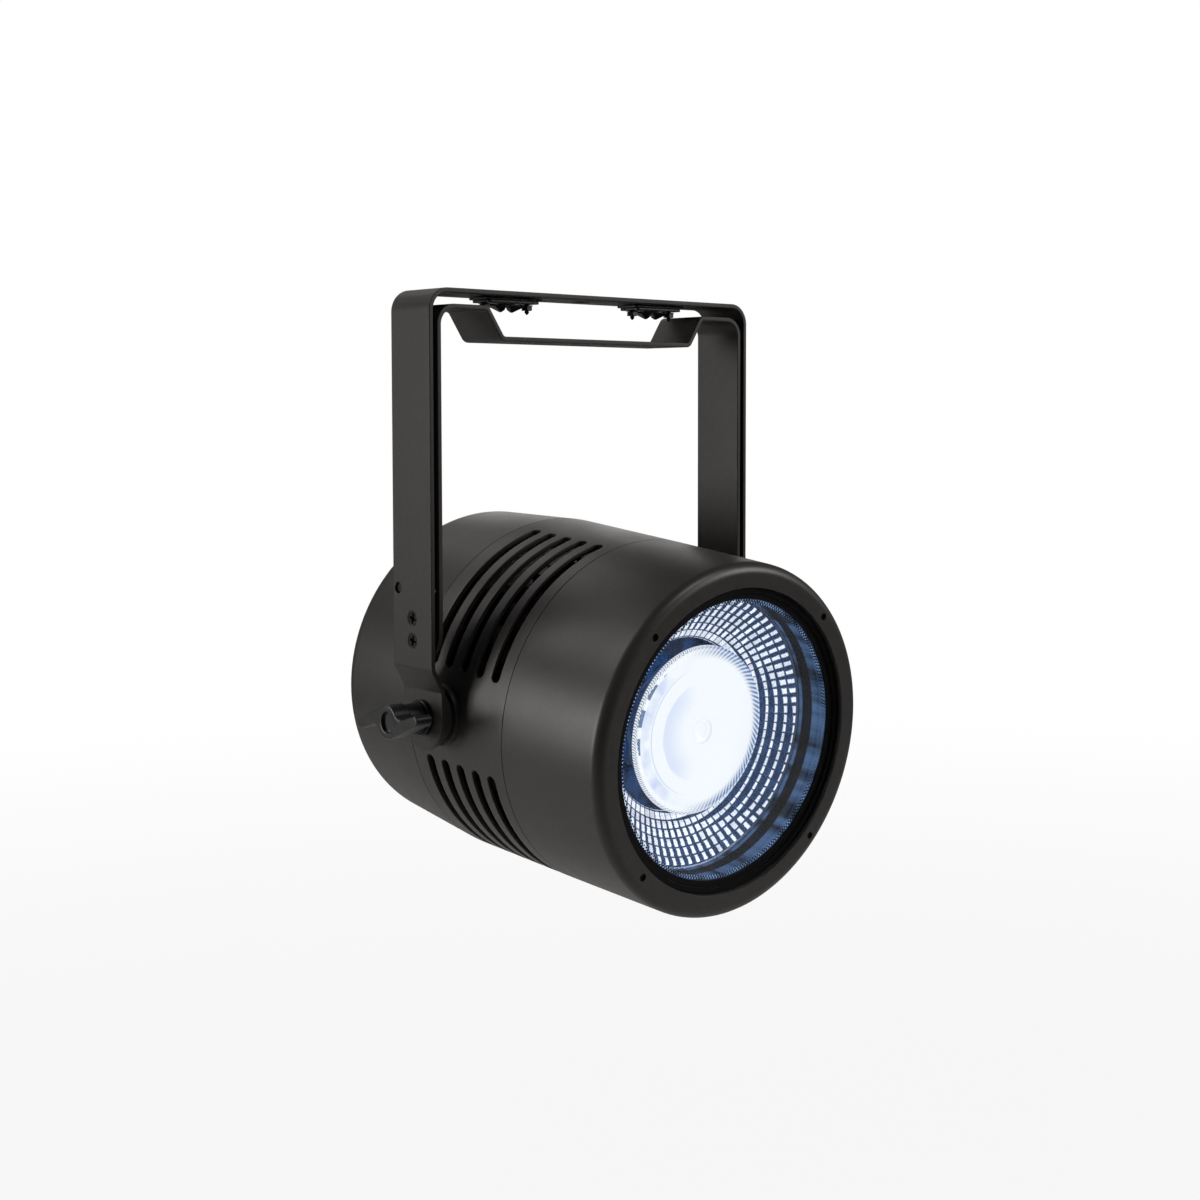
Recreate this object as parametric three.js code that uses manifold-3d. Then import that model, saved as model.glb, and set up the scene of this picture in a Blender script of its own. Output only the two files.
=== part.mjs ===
// A round LED strobe light that hangs in a double yoke.
// Millimetres, +Z up, X along the tilt axis, the lens faces -Y.
// The origin is the centre of the top bar's upper face.
// The outer yoke hangs from a truss. The inner yoke folds out of it as a floor stand.
// The head is turned about its own axis, so its pieces are drawn as profiles:
// radius against distance ahead of the pivot.

import * as THREE from "three";
import { mergeVertices } from "three/addons/utils/BufferGeometryUtils.js";
import Module from "manifold-3d";

const wasm = await Module();
wasm.setup();

// Fits
const FIT = 0.3; // gap between two pieces that touch
const BITE = 0.5; // how far a cutter reaches past the face that it cuts
const WELD = 1e-4; // two corners nearer than this are one

// Outer yoke, bent from flat strip
const STRIP_WIDTH = 35.6;
const STRIP = 2.5;
const YOKE_HEIGHT = 227.5; // pivot to upper face
const YOKE_SIDE_GAP = 17; // the body's widest radius to the arm's outer face
const YOKE_BEND = 12; // outside radius of the two top corners
const JOGGLE_DEPTH = 6.2; // how far the arm's foot is stepped in
const JOGGLE_TOP = 27.5; // above the pivot
const JOGGLE_BOTTOM = 15.2;
const JOGGLE_BEND = 3;
const CLAMP_HOLE = 12.5;

// Floor stand, the inner yoke
const STAND_SIDE_GAP = 2.5; // between its arm and the outer arm
const STAND_TOP_GAP = 5.8; // between its raised ends and the top bar
const STAND_DROP = 16.2; // the middle of its bar hangs this much lower
const STAND_BEND = 11;
const STAND_DROP_BEND = 3.5;
const STAND_CREST = 78.3; // centre to the top of the slope
const STAND_DIP = 68; // centre to the foot of the slope

// Hinge of the floor stand
const HINGE_UP = 47.5; // above the pivot
const HINGE_BOSS = 22.4; // diameter
const HINGE_FLANGE = 29;
const HINGE_FLANGE_THICK = 2;
const HINGE_SCREW_PITCH = 11.8;
const DETENT_INSET = 4.8; // index hole, from the strip's rear edge
const DETENT_BACK = STRIP_WIDTH / 2 - DETENT_INSET;
const DETENT_UP = 21.3;
const DETENT_HOLE = 6.1;
const DETENT_TIP = 3.4;

// Countersunk M4 screws
const SCREW = 4;
const SCREW_HEAD = 7.8;
const SCREW_LENGTH = 8.5;
const CROSS_WIDTH = 0.9;
const CROSS_SPAN = 4.4;
const CROSS_DEPTH = 1.4;

// Quarter-turn receptacles for an omega clamp bracket
const RECEPTACLE_PITCH = 106;
const RECEPTACLE_LENGTH = 38;
const RECEPTACLE_WIDTH = 18;
const RECEPTACLE_SHEET = 1.5;
const RECEPTACLE_STEP = 1.8; // the lower sheet is shorter by this at each end
const RECEPTACLE_SCREW_PITCH = 28.6;
const RECEPTACLE_BORE = 10.5;
const RECEPTACLE_DEPTH = 11.3; // upper face to the screws' tips
const CAM_FLANGE = 17;
const CAM_FLANGE_THICK = 1;
const CAM_WIDTH = 8;
const CAM_SPAN = 21;
const CAM_PRONG_PITCH = 7.6;
const CAM_POINT = 1.2;
const CAM_DROP = 3.4; // prongs below the flange
const CAM_SADDLE = 0.9;
const NUT_ACROSS = 7;
const NUT_THICK = 3;

// Head: radius at each station along its axis, stations measured ahead of the pivot
const HEAD_TILT_DEG = 4.4; // lens down
const FRONT = 128.2;
const FRONT_SEAM = 53;
const REAR_SEAM = -28.2;
const BACK = -104.8;
const BODY_RADIUS = 98.5; // at the rear seam
const SEAM_TAPER = 1.7; // less than the body's radius
const FRONT_TAPER = 3.6;
const BACK_TAPER = 3.7;
const FRONT_SEAM_RADIUS = BODY_RADIUS - SEAM_TAPER;
const FRONT_RADIUS = BODY_RADIUS - FRONT_TAPER;
const BACK_RADIUS = BODY_RADIUS - BACK_TAPER;
const YOKE_WIDTH = 2 * (BODY_RADIUS + YOKE_SIDE_GAP);
const FRONT_ROUND = 6;
const BACK_ROUND = 14.2;
const WALL = 2.8;

// Front opening
const FRONT_FACE = 13.1; // width of the ring round the opening, with its rounded edge
const OPENING_RADIUS = FRONT_RADIUS - FRONT_FACE;
const RETAINER = 3.2;
const RETAINER_STEP = 1.7;
const RETAINER_RIM = 3.2; // width of its higher part
const RETAINER_WIDTH = 6.7;
const RETAINER_STEP_RADIUS = OPENING_RADIUS - RETAINER_RIM;
const WINDOW_RADIUS = OPENING_RADIUS - RETAINER_WIDTH;
const GLASS = 3;
const GLASS_LAP = 1.8; // the glass reaches this far behind the ring
const GLASS_RADIUS = OPENING_RADIUS + GLASS_LAP;
const GASKET = 1.4;
const FRONT_SCREW_INSET = 8.1;
const FRONT_SCREW_RADIUS = FRONT_RADIUS - FRONT_SCREW_INSET;
const FRONT_SCREW_HOLE = 4;
const FRONT_SCREW_HEAD = 3.4;
const FRONT_SCREW_HEAD_THICK = 1.5;
const FRONT_SCREW_SHANK = 2;
const FRONT_SCREW_LENGTH = 9;
const FRONT_SCREW_SINK = 1.2;
const TUBE_WALL = 2.2;
const TUBE_FLANGE = 3;

// Optics
const RIM = 100.9; // the reflector's rim
const RIM_GAP = 0.5; // between the rim and the tube's bore
const RIM_RADIUS = WINDOW_RADIUS - RIM_GAP;
const THROAT = 81.2;
const BOWL_WIDTH = 26.3; // rim to throat
const THROAT_RADIUS = RIM_RADIUS - BOWL_WIDTH;
const REFLECTOR_WALL = 1.3;
const FACET_COLUMNS = 36;
const FACET_ROWS = 6;
const LENS_GAP = 2.3; // throat to lens
const LENS_RADIUS = THROAT_RADIUS - LENS_GAP;
const LENS_RIM = 98.2;
const LENS_EDGE = 1.6;
const LENS_CROWN = 3.2; // the crown above its edge
const DIMPLE_RADIUS = 6.5;
const DIMPLE_DEPTH = 3;
const LENS_FOOT_RADIUS = 17;
const LENS_TEETH = 12;
const LENS_TOOTH = 1.1;
const LED_WELL_RADIUS = 12.5;
const LED_WELL_DEPTH = 4;
const HOLDER_LEDGE = 3; // under the lens's foot
const HOLDER_COLLAR = 8;
const HOLDER_HEIGHT = 4;
const LED_RADIUS = 11;
const LED_THICK = 1.5;
const BOARD_SIDE = 46;
const BOARD = 1.6;

// Bulkhead, heat sink and fan
const BULKHEAD = 65.6; // its front face
const BULKHEAD_THICK = 2;
const BULKHEAD_HOLE = 35;
const SINK_BASE = 8;
const SINK_INSET = 18.5;
const SINK_RADIUS = BODY_RADIUS - SINK_INSET;
const SINK_PEDESTAL_RADIUS = 33;
const FIN = 1.8;
const FINS = 15;
const FIN_EDGE = 7.2; // the base's rim to the last fin
const FIN_PITCH = (2 * (SINK_RADIUS - FIN_EDGE)) / (FINS - 1);
const FAN_INSET = 39; // the body's radius to the frame's side
const FAN_SIDE = 2 * (BODY_RADIUS - FAN_INSET);
const FAN_DEPTH = 25.4;
const FAN_FRONT = -9.7;
const FAN_BORE_GAP = 4; // less than its side
const FAN_BORE = FAN_SIDE - FAN_BORE_GAP;
const FAN_CORNER = 8;
const FAN_HOLE_GAP = 14; // less than its side
const FAN_HOLE_PITCH = FAN_SIDE - FAN_HOLE_GAP;
const FAN_HOLE = 4.4;
const FAN_MOTOR_RADIUS = 22;
const FAN_MOTOR_PLATE = 3;
const FAN_STRUT = 5;
const FAN_TIP_GAP = 1.5;
const BLADES = 7;
const BLADE = 1.7;
const BLADE_CHORD = 24;
const BLADE_PITCH_DEG = 38;

// Tilt pivots
const PIVOT_PAD_RADIUS = 17;
const PIVOT_PAD_PROUD = 1.2; // past the body's radius
const PIVOT_PAD_FACE = BODY_RADIUS + PIVOT_PAD_PROUD;
const DISC_RADIUS = 14.2;
const STUD = 8;
const STUD_HEAD_RADIUS = 7;
const STUD_HEAD = 4.5;
const PAD_DEPTH = 8;
const WASHER_RADIUS = 9.6;
const WASHER = 2.4;

// Wing knobs
const KNOB_REACH = 22.5; // from the arm's foot to the outer face
const KNOB_WING_THICK = 10;
const KNOB_HUB_RADIUS = 9.1;
const KNOB_NECK_RADIUS = 8.2;
const KNOB_TIP_OUT = 24.6;
const KNOB_TIP_UP = 5.5;
const KNOB_TIP_RADIUS = 2.85;
const KNOB_HOLLOW_RADIUS = 6; // where the wing's hollow flank runs into the hub
const KNOB_HOLLOW_LEAN_DEG = 23;
const KNOB_WELL_RADIUS = 5.6;
const KNOB_WELL_DEPTH = 4.5;

// Vents: four groups of slots round the ring
const SLOTS = 5;
const SLOT_WIDTH = 6.8;
const SLOT_PITCH = 13.5;
const SLOT_FIRST_DEG = 15; // from the tilt axis
const SLOT_LAST_DEG = 75;
const SLOT_MIDDLE = 13.8; // station of the third slot

// Rear panel
const PANEL_INSET = 18.8;
const PANEL_RADIUS = BACK_RADIUS - PANEL_INSET;
const PANEL = 2;
const LEDGE = 6; // the panel rests on a ledge this wide
const DISPLAY_WIDTH = 52;
const DISPLAY_HEIGHT = 20;
const DISPLAY_UP = 39;
const DISPLAY_PROUD = 0.8;
const BEZEL = 2;
const CONTROL_GAP = 7.2; // panel's inner face to the control board
const CONTROL_WIDTH = 108;
const CONTROL_HEIGHT = 48;
const CONTROL_UP = 30;
const BUTTONS = 4;
const BUTTON_RADIUS = 4.2;
const BUTTON_PITCH = 17;
const BUTTON_UP = 16;
const BUTTON_PROUD = 2.2;
const BUTTON_TRAVEL = 1.2;
const BUTTON_COLLAR = 1.2;
const SOCKET_COLUMN = 20;
const SOCKET_ROW = 34;
const SOCKET_TOP_ROW = -13;
const SOCKET_FLANGE_WIDTH = 26;
const SOCKET_FLANGE_HEIGHT = 31;
const SOCKET_FLANGE = 1.8;
const SOCKET_BODY_RADIUS = 11.4;
const SOCKET_BODY_DEPTH = 24;
const SOCKET_CORNER = 2.5;
const SOCKET_WELL_DEPTH = 14;
const DATA_WELL_RADIUS = 8.2;
const PIN = 2.4;
const PIN_CIRCLE = 4;
const PIN_LENGTH = 11;
const POWER_WELL_RADIUS = 9.6;
const POWER_CORE_RADIUS = 6.2;
const POWER_CORE_LENGTH = 12;
const FUSE_INSET = 23; // from the panel's edge
const FUSE_OUT = PANEL_RADIUS - FUSE_INSET;
const FUSE_UP = -13;
const FUSE_CAP_RADIUS = 7.6;
const FUSE_CAP = 6;
const FUSE_BODY_RADIUS = 6;
const FUSE_DEPTH = 26;
const FUSE_SLOT = 1.4;
const EYE_INSET = 14; // from the panel's edge
const EYE_UP = PANEL_RADIUS - EYE_INSET;
const EYE_RADIUS = 8;
const EYE_WIRE = 4.5;
const EYE_LEG = 6;
const EYE_FOOT_WIDTH = 28;
const EYE_FOOT_HEIGHT = 10;
const EYE_FOOT = 2;

// Power supply inside the rear housing
const SUPPLY_WIDTH = 96;
const SUPPLY_HEIGHT = 34;
const SUPPLY_LENGTH = 38;
const SUPPLY_GAP = 4; // behind the fan

// Fineness of curves, in pieces
const ROUND = 36;
const HIDDEN_ROUND = 24;
const SMALL_ROUND = 12;
const TINY_ROUND = 6;
const ARC = 4;
const CORNER_ARC = 2;

// Finishes
const finish = (color, roughness, metalness) =>
  new THREE.MeshStandardMaterial({ color, roughness, metalness });
const COATED = finish(0x3b3a39, 0.62, 0.35);
const COATED_STRIP = finish(0x403f3e, 0.58, 0.4);
const BLACK = finish(0x101011, 0.6, 0.1);
const SATIN_BLACK = finish(0x232325, 0.38, 0.3);
const STEEL = finish(0xb9b4b0, 0.32, 0.95);
const BLACK_STEEL = finish(0x1c1b1c, 0.42, 0.8);
const ALUMINIUM = finish(0xc4c6c8, 0.4, 0.9);
const MIRROR = finish(0xe9eef5, 0.08, 1);
const CLEAR = finish(0xe8f0f4, 0.05, 0);
const LENS_CLEAR = finish(0xf6f9ff, 0.05, 0);
const RUBBER = finish(0x1a1a1a, 0.9, 0);
const PHOSPHOR = finish(0xf2dd7a, 0.5, 0);
const BOARD_GREEN = finish(0x1d5a38, 0.6, 0.1);
const WINDOW = finish(0x0b1a24, 0.15, 0);

// Worked-out places
const HALF_YOKE = YOKE_WIDTH / 2;
const PIVOT_Z = -YOKE_HEIGHT;
const HINGE_Z = PIVOT_Z + HINGE_UP;
const FOOT_FACE = HALF_YOKE - JOGGLE_DEPTH; // outer face of the arm's foot
const STAND_FACE = HALF_YOKE - STRIP - STAND_SIDE_GAP; // outer face of the stand's arm
const END_RADIUS = STRIP_WIDTH / 2;
const GLASS_FRONT = FRONT - WALL - FIT - RETAINER - FIT;
const GASKET_FRONT = GLASS_FRONT - GLASS - FIT;
const TUBE_FRONT = GASKET_FRONT - GASKET - FIT;
const TUBE_BACK = RIM + FIT;
const BULKHEAD_BACK = BULKHEAD - BULKHEAD_THICK;
const BOARD_BACK = BULKHEAD + FIT;
const BOARD_FRONT = BOARD_BACK + BOARD;
const LED_FRONT = BOARD_FRONT + FIT + LED_THICK;
const SINK_FRONT = BULKHEAD_BACK - FIT;
const FAN_BACK = FAN_FRONT - FAN_DEPTH;
const PANEL_INNER = BACK + PANEL;
const BOARD_PLANE = PANEL_INNER + CONTROL_GAP;

// Geometry to solid. The faces are turned out if the profile ran the other way round.
function solid(geometry) {
  const bare = geometry.index ? geometry.toNonIndexed() : geometry.clone();
  bare.deleteAttribute("normal");
  bare.deleteAttribute("uv");
  const welded = mergeVertices(bare, WELD);
  const triVerts = new Uint32Array(welded.index.array);
  const build = () =>
    new wasm.Manifold(
      new wasm.Mesh({
        numProp: 3,
        vertProperties: new Float32Array(welded.attributes.position.array),
        triVerts,
      }),
    );
  let made = build();
  if (made.volume() < 0) {
    for (let i = 0; i < triVerts.length; i += 3)
      [triVerts[i + 1], triVerts[i + 2]] = [triVerts[i + 2], triVerts[i + 1]];
    made = build();
  }
  return made;
}

const join = (...solids) => solids.reduce((a, b) => a.add(b));
const cut = (body, ...cutters) => cutters.reduce((a, b) => a.subtract(b), body);

// Solid to named mesh.
function mesh(name, body, material) {
  const { numProp, vertProperties, triVerts, numVert } = body.getMesh();
  const positions = new Float32Array(numVert * 3);
  for (let i = 0; i < numVert; i++)
    positions.set(
      vertProperties.subarray(i * numProp, i * numProp + 3),
      i * 3,
    );
  const geometry = new THREE.BufferGeometry()
    .setAttribute("position", new THREE.BufferAttribute(positions, 3))
    .setIndex(new THREE.BufferAttribute(triVerts, 1))
    .toNonIndexed();
  geometry.computeVertexNormals();
  const made = new THREE.Mesh(geometry, material);
  made.name = name;
  return made;
}

// Frames that a drawing is carried into: (u, v, depth) to (x, y, z).
const axes = (u, v, w) =>
  new THREE.Matrix4().makeBasis(
    new THREE.Vector3(...u),
    new THREE.Vector3(...v),
    new THREE.Vector3(...w),
  );
const ACROSS = axes([0, 1, 0], [0, 0, 1], [1, 0, 0]); // drawn in y, z and given depth along x
const ALONG = axes([1, 0, 0], [0, 0, 1], [0, -1, 0]); // drawn in x, z and given depth towards the lens
const UP = new THREE.Matrix4();

// A drawn outline given depth from one station to another along the frame's third axis.
function prism(outline, frame, from, to, holes = [], curveSegments = ARC) {
  const shape =
    outline instanceof THREE.Shape ? outline : new THREE.Shape(outline);
  shape.holes.push(...holes);
  const geometry = new THREE.ExtrudeGeometry(shape, {
    depth: to - from,
    bevelEnabled: false,
    curveSegments,
  });
  geometry.translate(0, 0, from);
  return solid(geometry.applyMatrix4(frame));
}

// A box from its two far corners.
function box(low, high) {
  const size = high.map((h, i) => h - low[i]);
  const geometry = new THREE.BoxGeometry(...size);
  return solid(geometry.translate(...low.map((l, i) => l + size[i] / 2)));
}

// A closed profile of [radius, station] pairs turned about an axis. Stations run towards the lens.
function turned(profile, segments = ROUND) {
  const first = profile[0];
  const last = profile[profile.length - 1];
  const onAxis = first[0] === 0 && last[0] === 0;
  const points = (onAxis ? profile : [...profile, first]).map(
    ([r, s]) => new THREE.Vector2(r, -s),
  );
  return solid(new THREE.LatheGeometry(points, segments));
}

// The same about an axis along x, with stations from the middle outwards.
function turnedX(profile, segments = SMALL_ROUND) {
  const points = profile.map(([r, s]) => new THREE.Vector2(r, s));
  if (profile[0][0] !== 0) points.push(points[0].clone());
  const geometry = new THREE.LatheGeometry(points, segments);
  return solid(geometry.rotateZ(-Math.PI / 2));
}

// A plain round bar, drawn as a profile.
const bar = (radius, from, to) => [
  [0, from],
  [radius, from],
  [radius, to],
  [0, to],
];
const tube = (inner, outer, from, to) => [
  [inner, from],
  [outer, from],
  [outer, to],
  [inner, to],
];

// Points of an arc, for a profile or an outline.
function arc(cx, cy, radius, fromDeg, toDeg, steps = ARC) {
  return Array.from({ length: steps + 1 }, (_, i) => {
    const a = THREE.MathUtils.degToRad(fromDeg + ((toDeg - fromDeg) * i) / steps);
    return [cx + radius * Math.cos(a), cy + radius * Math.sin(a)];
  });
}

const vectors = (points) => points.map(([x, y]) => new THREE.Vector2(x, y));
const mirrored = (body) => body.mirror([1, 0, 0]);

function rectangle(width, height, corner, x = 0, y = 0) {
  const w = width / 2 - corner;
  const h = height / 2 - corner;
  return new THREE.Shape(
    vectors([
      ...arc(x + w, y + h, corner, 0, 90, CORNER_ARC),
      ...arc(x - w, y + h, corner, 90, 180, CORNER_ARC),
      ...arc(x - w, y - h, corner, 180, 270, CORNER_ARC),
      ...arc(x + w, y - h, corner, 270, 360, CORNER_ARC),
    ]),
  );
}

// A round, its first corner straight above its centre, as a turned piece has it.
const circle = (radius, x = 0, y = 0, steps = SMALL_ROUND) =>
  new THREE.Shape(vectors(arc(x, y, radius, 90, 450, steps).slice(1)));

// The outline of a strip bent along a path, with a radius at each bend of the path's middle line.
function bentStrip(path, radii, thickness) {
  const left = [];
  const right = [];
  const put = (point, way) => {
    const side = new THREE.Vector2(-way.y, way.x).multiplyScalar(thickness / 2);
    left.push(point.clone().add(side));
    right.push(point.clone().sub(side));
  };
  const points = vectors(path);
  const ways = points
    .slice(1)
    .map((p, i) => p.clone().sub(points[i]).normalize());
  put(points[0], ways[0]);
  radii.forEach((radius, i) => {
    const [into, out] = [ways[i], ways[i + 1]];
    const turn = Math.atan2(into.cross(out), into.dot(out));
    const start = points[i + 1]
      .clone()
      .addScaledVector(into, -radius * Math.tan(Math.abs(turn) / 2));
    const inwards = new THREE.Vector2(-into.y, into.x).multiplyScalar(
      Math.sign(turn),
    );
    const centre = start.clone().addScaledVector(inwards, radius);
    for (let k = 0; k <= ARC; k++) {
      const a = (turn * k) / ARC;
      const origin = new THREE.Vector2();
      const spoke = inwards.clone().rotateAround(origin, a);
      put(
        centre.clone().addScaledVector(spoke, -radius),
        into.clone().rotateAround(origin, a),
      );
    }
  });
  put(points[points.length - 1], ways[ways.length - 1]);
  return [...left, ...right.reverse()];
}

// A path drawn for the left side, repeated on the right.
const bothSides = (path) => [
  ...path,
  ...path.map(([x, z]) => [-x, z]).reverse(),
];

// Keeps what lies above a full round end of the strip's own width, centred on a pin at this height.
function roundEnd(z, top) {
  const outline = [
    [END_RADIUS, top],
    [-END_RADIUS, top],
    ...arc(0, z, END_RADIUS, 180, 360, SMALL_ROUND),
  ];
  return prism(vectors(outline), ACROSS, -YOKE_WIDTH, YOKE_WIDTH);
}

// A hole along x through both arms, given in y and z.
const crossHole = (diameter, y, z, steps = SMALL_ROUND) =>
  prism(circle(diameter / 2, y, z, steps), ACROSS, -YOKE_WIDTH, YOKE_WIDTH);

// A hole down through the top bar or through what hangs under it.
const dropHole = (diameter, x, steps = SMALL_ROUND) =>
  turnedX(bar(diameter / 2, -YOKE_HEIGHT, BITE), steps)
    .rotate([0, -90, 0])
    .translate([x, 0, 0]);

// A hole through a strip for a countersunk screw, its head flush with this station of the x axis.
function screwHole(face) {
  const bore = SCREW / 2 + FIT;
  const seat = SCREW_HEAD / 2 + FIT;
  return turnedX(
    [
      [0, face - STRIP - BITE],
      [bore, face - STRIP - BITE],
      [bore, face - (SCREW_HEAD - SCREW) / 2],
      [seat, face],
      [seat, face + BITE],
      [0, face + BITE],
    ],
    TINY_ROUND,
  );
}

const hingeScrewUps = [HINGE_SCREW_PITCH / 2, -HINGE_SCREW_PITCH / 2];
const receptacleXs = [-RECEPTACLE_PITCH / 2, RECEPTACLE_PITCH / 2];
const receptacleScrewXs = receptacleXs.flatMap((x) => [
  x - RECEPTACLE_SCREW_PITCH / 2,
  x + RECEPTACLE_SCREW_PITCH / 2,
]);

function outerYoke() {
  const arm = HALF_YOKE - STRIP / 2;
  const foot = arm - JOGGLE_DEPTH;
  const bend = YOKE_BEND - STRIP / 2;
  const path = bothSides([
    [-foot, PIVOT_Z - END_RADIUS - BITE],
    [-foot, PIVOT_Z + JOGGLE_BOTTOM],
    [-arm, PIVOT_Z + JOGGLE_TOP],
    [-arm, -STRIP / 2],
  ]);
  const radii = [JOGGLE_BEND, JOGGLE_BEND, bend, bend, JOGGLE_BEND, JOGGLE_BEND];
  const strip = prism(
    bentStrip(path, radii, STRIP),
    ALONG,
    -STRIP_WIDTH / 2,
    STRIP_WIDTH / 2,
  );
  const hingeHoles = hingeScrewUps.map((up) =>
    screwHole(HALF_YOKE).translate([0, 0, HINGE_Z + up]),
  );
  const receptacleHoles = receptacleScrewXs.map((x) =>
    screwHole(0).rotate([0, -90, 0]).translate([x, 0, 0]),
  );
  return cut(
    strip.intersect(roundEnd(PIVOT_Z, BITE)),
    crossHole(STUD + 2 * FIT, 0, PIVOT_Z),
    crossHole(DETENT_HOLE, DETENT_BACK, HINGE_Z + DETENT_UP, TINY_ROUND),
    ...hingeHoles,
    ...hingeHoles.map(mirrored),
    dropHole(CLAMP_HOLE, 0),
    ...receptacleXs.map((x) => dropHole(RECEPTACLE_BORE, x)),
    ...receptacleHoles,
  );
}

function floorStand() {
  const arm = STAND_FACE - STRIP / 2;
  const bend = STAND_BEND - STRIP / 2;
  const raised = -STRIP - STAND_TOP_GAP - STRIP / 2;
  const path = bothSides([
    [-arm, HINGE_Z - END_RADIUS - BITE],
    [-arm, raised],
    [-STAND_CREST, raised],
    [-STAND_DIP, raised - STAND_DROP],
  ]);
  const radii = [bend, STAND_DROP_BEND, STAND_DROP_BEND];
  const strip = prism(
    bentStrip(path, [...radii, ...radii.slice().reverse()], STRIP),
    ALONG,
    -STRIP_WIDTH / 2,
    STRIP_WIDTH / 2,
  );
  return cut(
    strip.intersect(roundEnd(HINGE_Z, 0)),
    crossHole(HINGE_BOSS + 2 * FIT, 0, HINGE_Z, HIDDEN_ROUND),
    crossHole(DETENT_TIP, DETENT_BACK, HINGE_Z + DETENT_UP, TINY_ROUND),
    crossHole(DETENT_TIP, -DETENT_BACK, HINGE_Z + DETENT_UP, TINY_ROUND),
  );
}

// The hinge's boss: it fills the stand's round hole and its flange keeps the stand on.
function hingeBoss() {
  const outer = HALF_YOKE - STRIP - FIT;
  const standInner = STAND_FACE - STRIP;
  const flangeOuter = standInner - FIT;
  const body = turnedX(
    [
      [0, flangeOuter - HINGE_FLANGE_THICK],
      [HINGE_FLANGE / 2, flangeOuter - HINGE_FLANGE_THICK],
      [HINGE_FLANGE / 2, flangeOuter],
      [HINGE_BOSS / 2, flangeOuter],
      [HINGE_BOSS / 2, outer],
      [0, outer],
    ],
    HIDDEN_ROUND,
  ).translate([0, 0, HINGE_Z]);
  const bores = hingeScrewUps.map((up) =>
    turnedX(bar(SCREW / 2 + FIT, 0, YOKE_WIDTH), TINY_ROUND).translate([
      0,
      0,
      HINGE_Z + up,
    ]),
  );
  return cut(body, ...bores);
}

// A countersunk cross-recess screw, its flat top at this station of the x axis.
function countersunk(face, length) {
  const cone = (SCREW_HEAD - SCREW) / 2;
  const body = turnedX(
    [
      [0, face - length],
      [SCREW / 2, face - length],
      [SCREW / 2, face - cone],
      [SCREW_HEAD / 2, face],
      [0, face],
    ],
    TINY_ROUND,
  );
  const slot = (y, z) =>
    box([face - CROSS_DEPTH, -y / 2, -z / 2], [face + BITE, y / 2, z / 2]);
  return cut(
    body,
    slot(CROSS_WIDTH, CROSS_SPAN),
    slot(CROSS_SPAN, CROSS_WIDTH),
  );
}

// The sprung detent pressed in the outer arm's index hole.
function detent() {
  const inner = STAND_FACE + FIT;
  return turnedX(
    [
      [0, inner],
      [DETENT_TIP / 4, inner],
      [DETENT_TIP / 2, inner + DETENT_TIP / 4],
      [DETENT_TIP / 2, HALF_YOKE - STRIP - FIT],
      [DETENT_HOLE / 2 - FIT, HALF_YOKE - STRIP],
      [DETENT_HOLE / 2 - FIT, HALF_YOKE - STRIP / 2],
      [0, HALF_YOKE - STRIP / 2],
    ],
    TINY_ROUND,
  ).translate([0, DETENT_BACK, HINGE_Z + DETENT_UP]);
}

// Receptacles: two sheets, the lower one shorter, with a bore for the quarter-turn stud.
const SHEETS_TOP = -STRIP - FIT;
const SHEETS_BOTTOM = SHEETS_TOP - 2 * RECEPTACLE_SHEET;

function receptaclePlate(x) {
  const sheet = (length, width, from, to) =>
    prism(rectangle(length, width, RECEPTACLE_STEP), UP, from, to);
  const body = join(
    sheet(
      RECEPTACLE_LENGTH,
      RECEPTACLE_WIDTH,
      SHEETS_TOP - RECEPTACLE_SHEET,
      SHEETS_TOP,
    ),
    sheet(
      RECEPTACLE_LENGTH - 2 * RECEPTACLE_STEP,
      RECEPTACLE_WIDTH - RECEPTACLE_STEP,
      SHEETS_BOTTOM,
      SHEETS_TOP - RECEPTACLE_SHEET,
    ),
  );
  return cut(
    body,
    dropHole(RECEPTACLE_BORE, 0),
    dropHole(SCREW + 2 * FIT, RECEPTACLE_SCREW_PITCH / 2, TINY_ROUND),
    dropHole(SCREW + 2 * FIT, -RECEPTACLE_SCREW_PITCH / 2, TINY_ROUND),
  ).translate([x, 0, 0]);
}

// The sprung cam under the plate: a round flange and two pointed prongs that the stud turns behind.
function receptacleCam(x) {
  const top = SHEETS_BOTTOM - FIT;
  const under = top - CAM_FLANGE_THICK;
  const flange = prism(circle(CAM_FLANGE / 2), UP, under, top);
  const prongs = prism(
    vectors([
      [-CAM_SPAN / 2, top],
      [-CAM_SPAN / 2, under],
      [-CAM_PRONG_PITCH / 2, under - CAM_DROP],
      [0, under - CAM_SADDLE],
      [CAM_PRONG_PITCH / 2, under - CAM_DROP],
      [CAM_SPAN / 2, under],
      [CAM_SPAN / 2, top],
    ]),
    ALONG,
    -CAM_WIDTH / 2,
    CAM_WIDTH / 2,
  );
  const taper = prism(
    vectors([
      [-CAM_WIDTH / 2, top],
      [-CAM_WIDTH / 2, under],
      [-CAM_POINT / 2, under - CAM_DROP - BITE],
      [CAM_POINT / 2, under - CAM_DROP - BITE],
      [CAM_WIDTH / 2, under],
      [CAM_WIDTH / 2, top],
    ]),
    ACROSS,
    -CAM_SPAN / 2 - BITE,
    CAM_SPAN / 2 + BITE,
  );
  const slot = prism(
    rectangle(CAM_WIDTH / 2, RECEPTACLE_BORE - CAM_FLANGE_THICK, CAM_FLANGE_THICK),
    UP,
    under - CAM_DROP - BITE,
    top + BITE,
  );
  return cut(join(flange, prongs.intersect(taper)), slot).translate([x, 0, 0]);
}

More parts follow.
